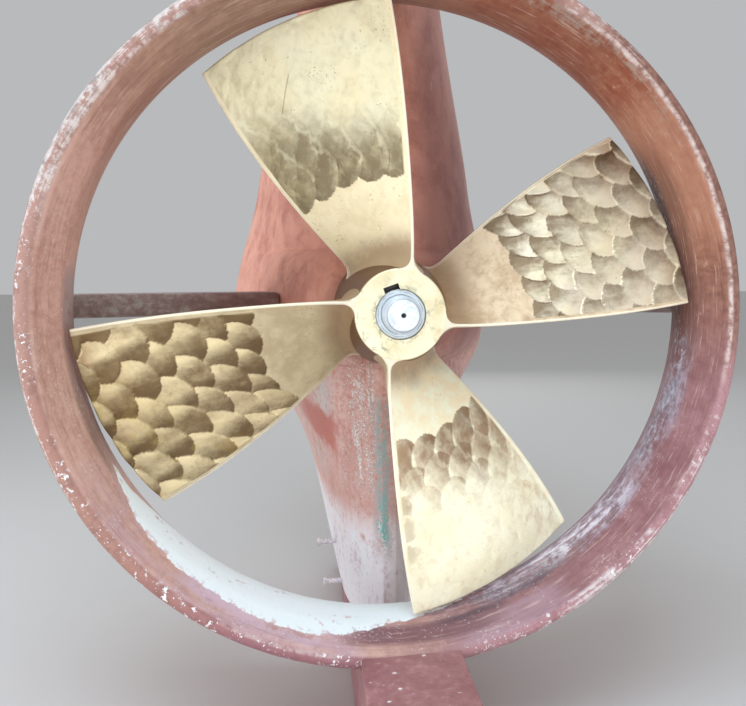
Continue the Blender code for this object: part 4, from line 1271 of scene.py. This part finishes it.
sole = softened_copy("sole_piece", "sole_beam", 0.012, 35)
head = softened_copy("head_box", "head_plating", 0.006, 35)
head.data.materials.append(skeg_finish)

finish = Finish("sole_paint_worn")
where = finish.place()
blotch = finish.noise(where, 9.0, 5.0, 0.6, 0.3)
grain = finish.noise(where, 75.0, 5.0, 0.65)
scrape = finish.noise(finish.place((26.0, 110.0, 60.0)), 1.0, 4.0, 0.6)
paint = (blotch * 0.6 + grain * 0.4).tint(0.38, 0.64, (142, 92, 96), (172, 122, 124))
paint = paint.covered((grain * 0.6 + blotch * 0.4).rise(0.54, 0.66) * 0.4, (196, 160, 162))
chip = finish.cells(where, 60.0).rise(0.26, 0.10) * scrape.rise(0.52, 0.62)
paint = paint.covered(chip * 0.9, (240, 234, 238))
finish.colour(paint)
finish.rough(0.55 + (grain - 0.5) * 0.3)
finish.bump(grain * 0.5 + blotch * 0.4 - chip * 0.4, 0.0014)
sole.data.materials.append(finish.material)


# Anode studs
# Steel studs welded to the skeg's sides, with their nuts still on, left where a zinc anode
# has been taken off. They are splashed with pale paint.

STUD_RADIUS = 0.005
STUD_LENGTH = 0.040
STUD_MIDDLE = 0.0135
NUT_RADIUS = 0.0090
NUT_HEIGHT = 0.007
NUT_MIDDLE = 0.0370

finish = Finish("stud_steel_splashed")
where = finish.place()
grain = finish.noise(where, 300.0, 4.0)
finish.colour(grain.tint(0.4, 0.6, (255, 252, 255), (214, 206, 216)))
finish.rough(0.5 + (grain - 0.5) * 0.3)
finish.bump(grain, 0.0004)
for side_name, side in (("port", -1), ("starboard", 1)):
    for level_name in ("upper", "lower"):
        low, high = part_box(f"anode_stud_{side_name}_{level_name}")
        middle = (low + high) / 2
        root = high.x if side < 0 else low.x
        bpy.ops.object.select_all(action="DESELECT")
        bpy.ops.mesh.primitive_cylinder_add(
            vertices=24, radius=STUD_RADIUS, depth=STUD_LENGTH,
            location=(root + side * STUD_MIDDLE, middle.y, middle.z), rotation=(0.0, math.radians(90), 0.0))
        shank = bpy.context.object
        bpy.ops.mesh.primitive_cylinder_add(
            vertices=6, radius=NUT_RADIUS, depth=NUT_HEIGHT,
            location=(root + side * NUT_MIDDLE, middle.y, middle.z), rotation=(0.0, math.radians(90), 0.0))
        nut = bpy.context.object
        bpy.ops.object.select_all(action="DESELECT")
        nut.select_set(True)
        shank.select_set(True)
        bpy.context.view_layer.objects.active = shank
        bpy.ops.object.join()
        bpy.ops.object.transform_apply(location=True, rotation=True, scale=True)
        shank.name = f"stud_and_nut_{side_name}_{level_name}"
        round_edges(shank, 0.0008, 2, 30)
        settle(shank, 35)
        shank.data.materials.append(finish.material)
        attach(shank, STERN)
        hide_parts(f"anode_stud_{side_name}_{level_name}")
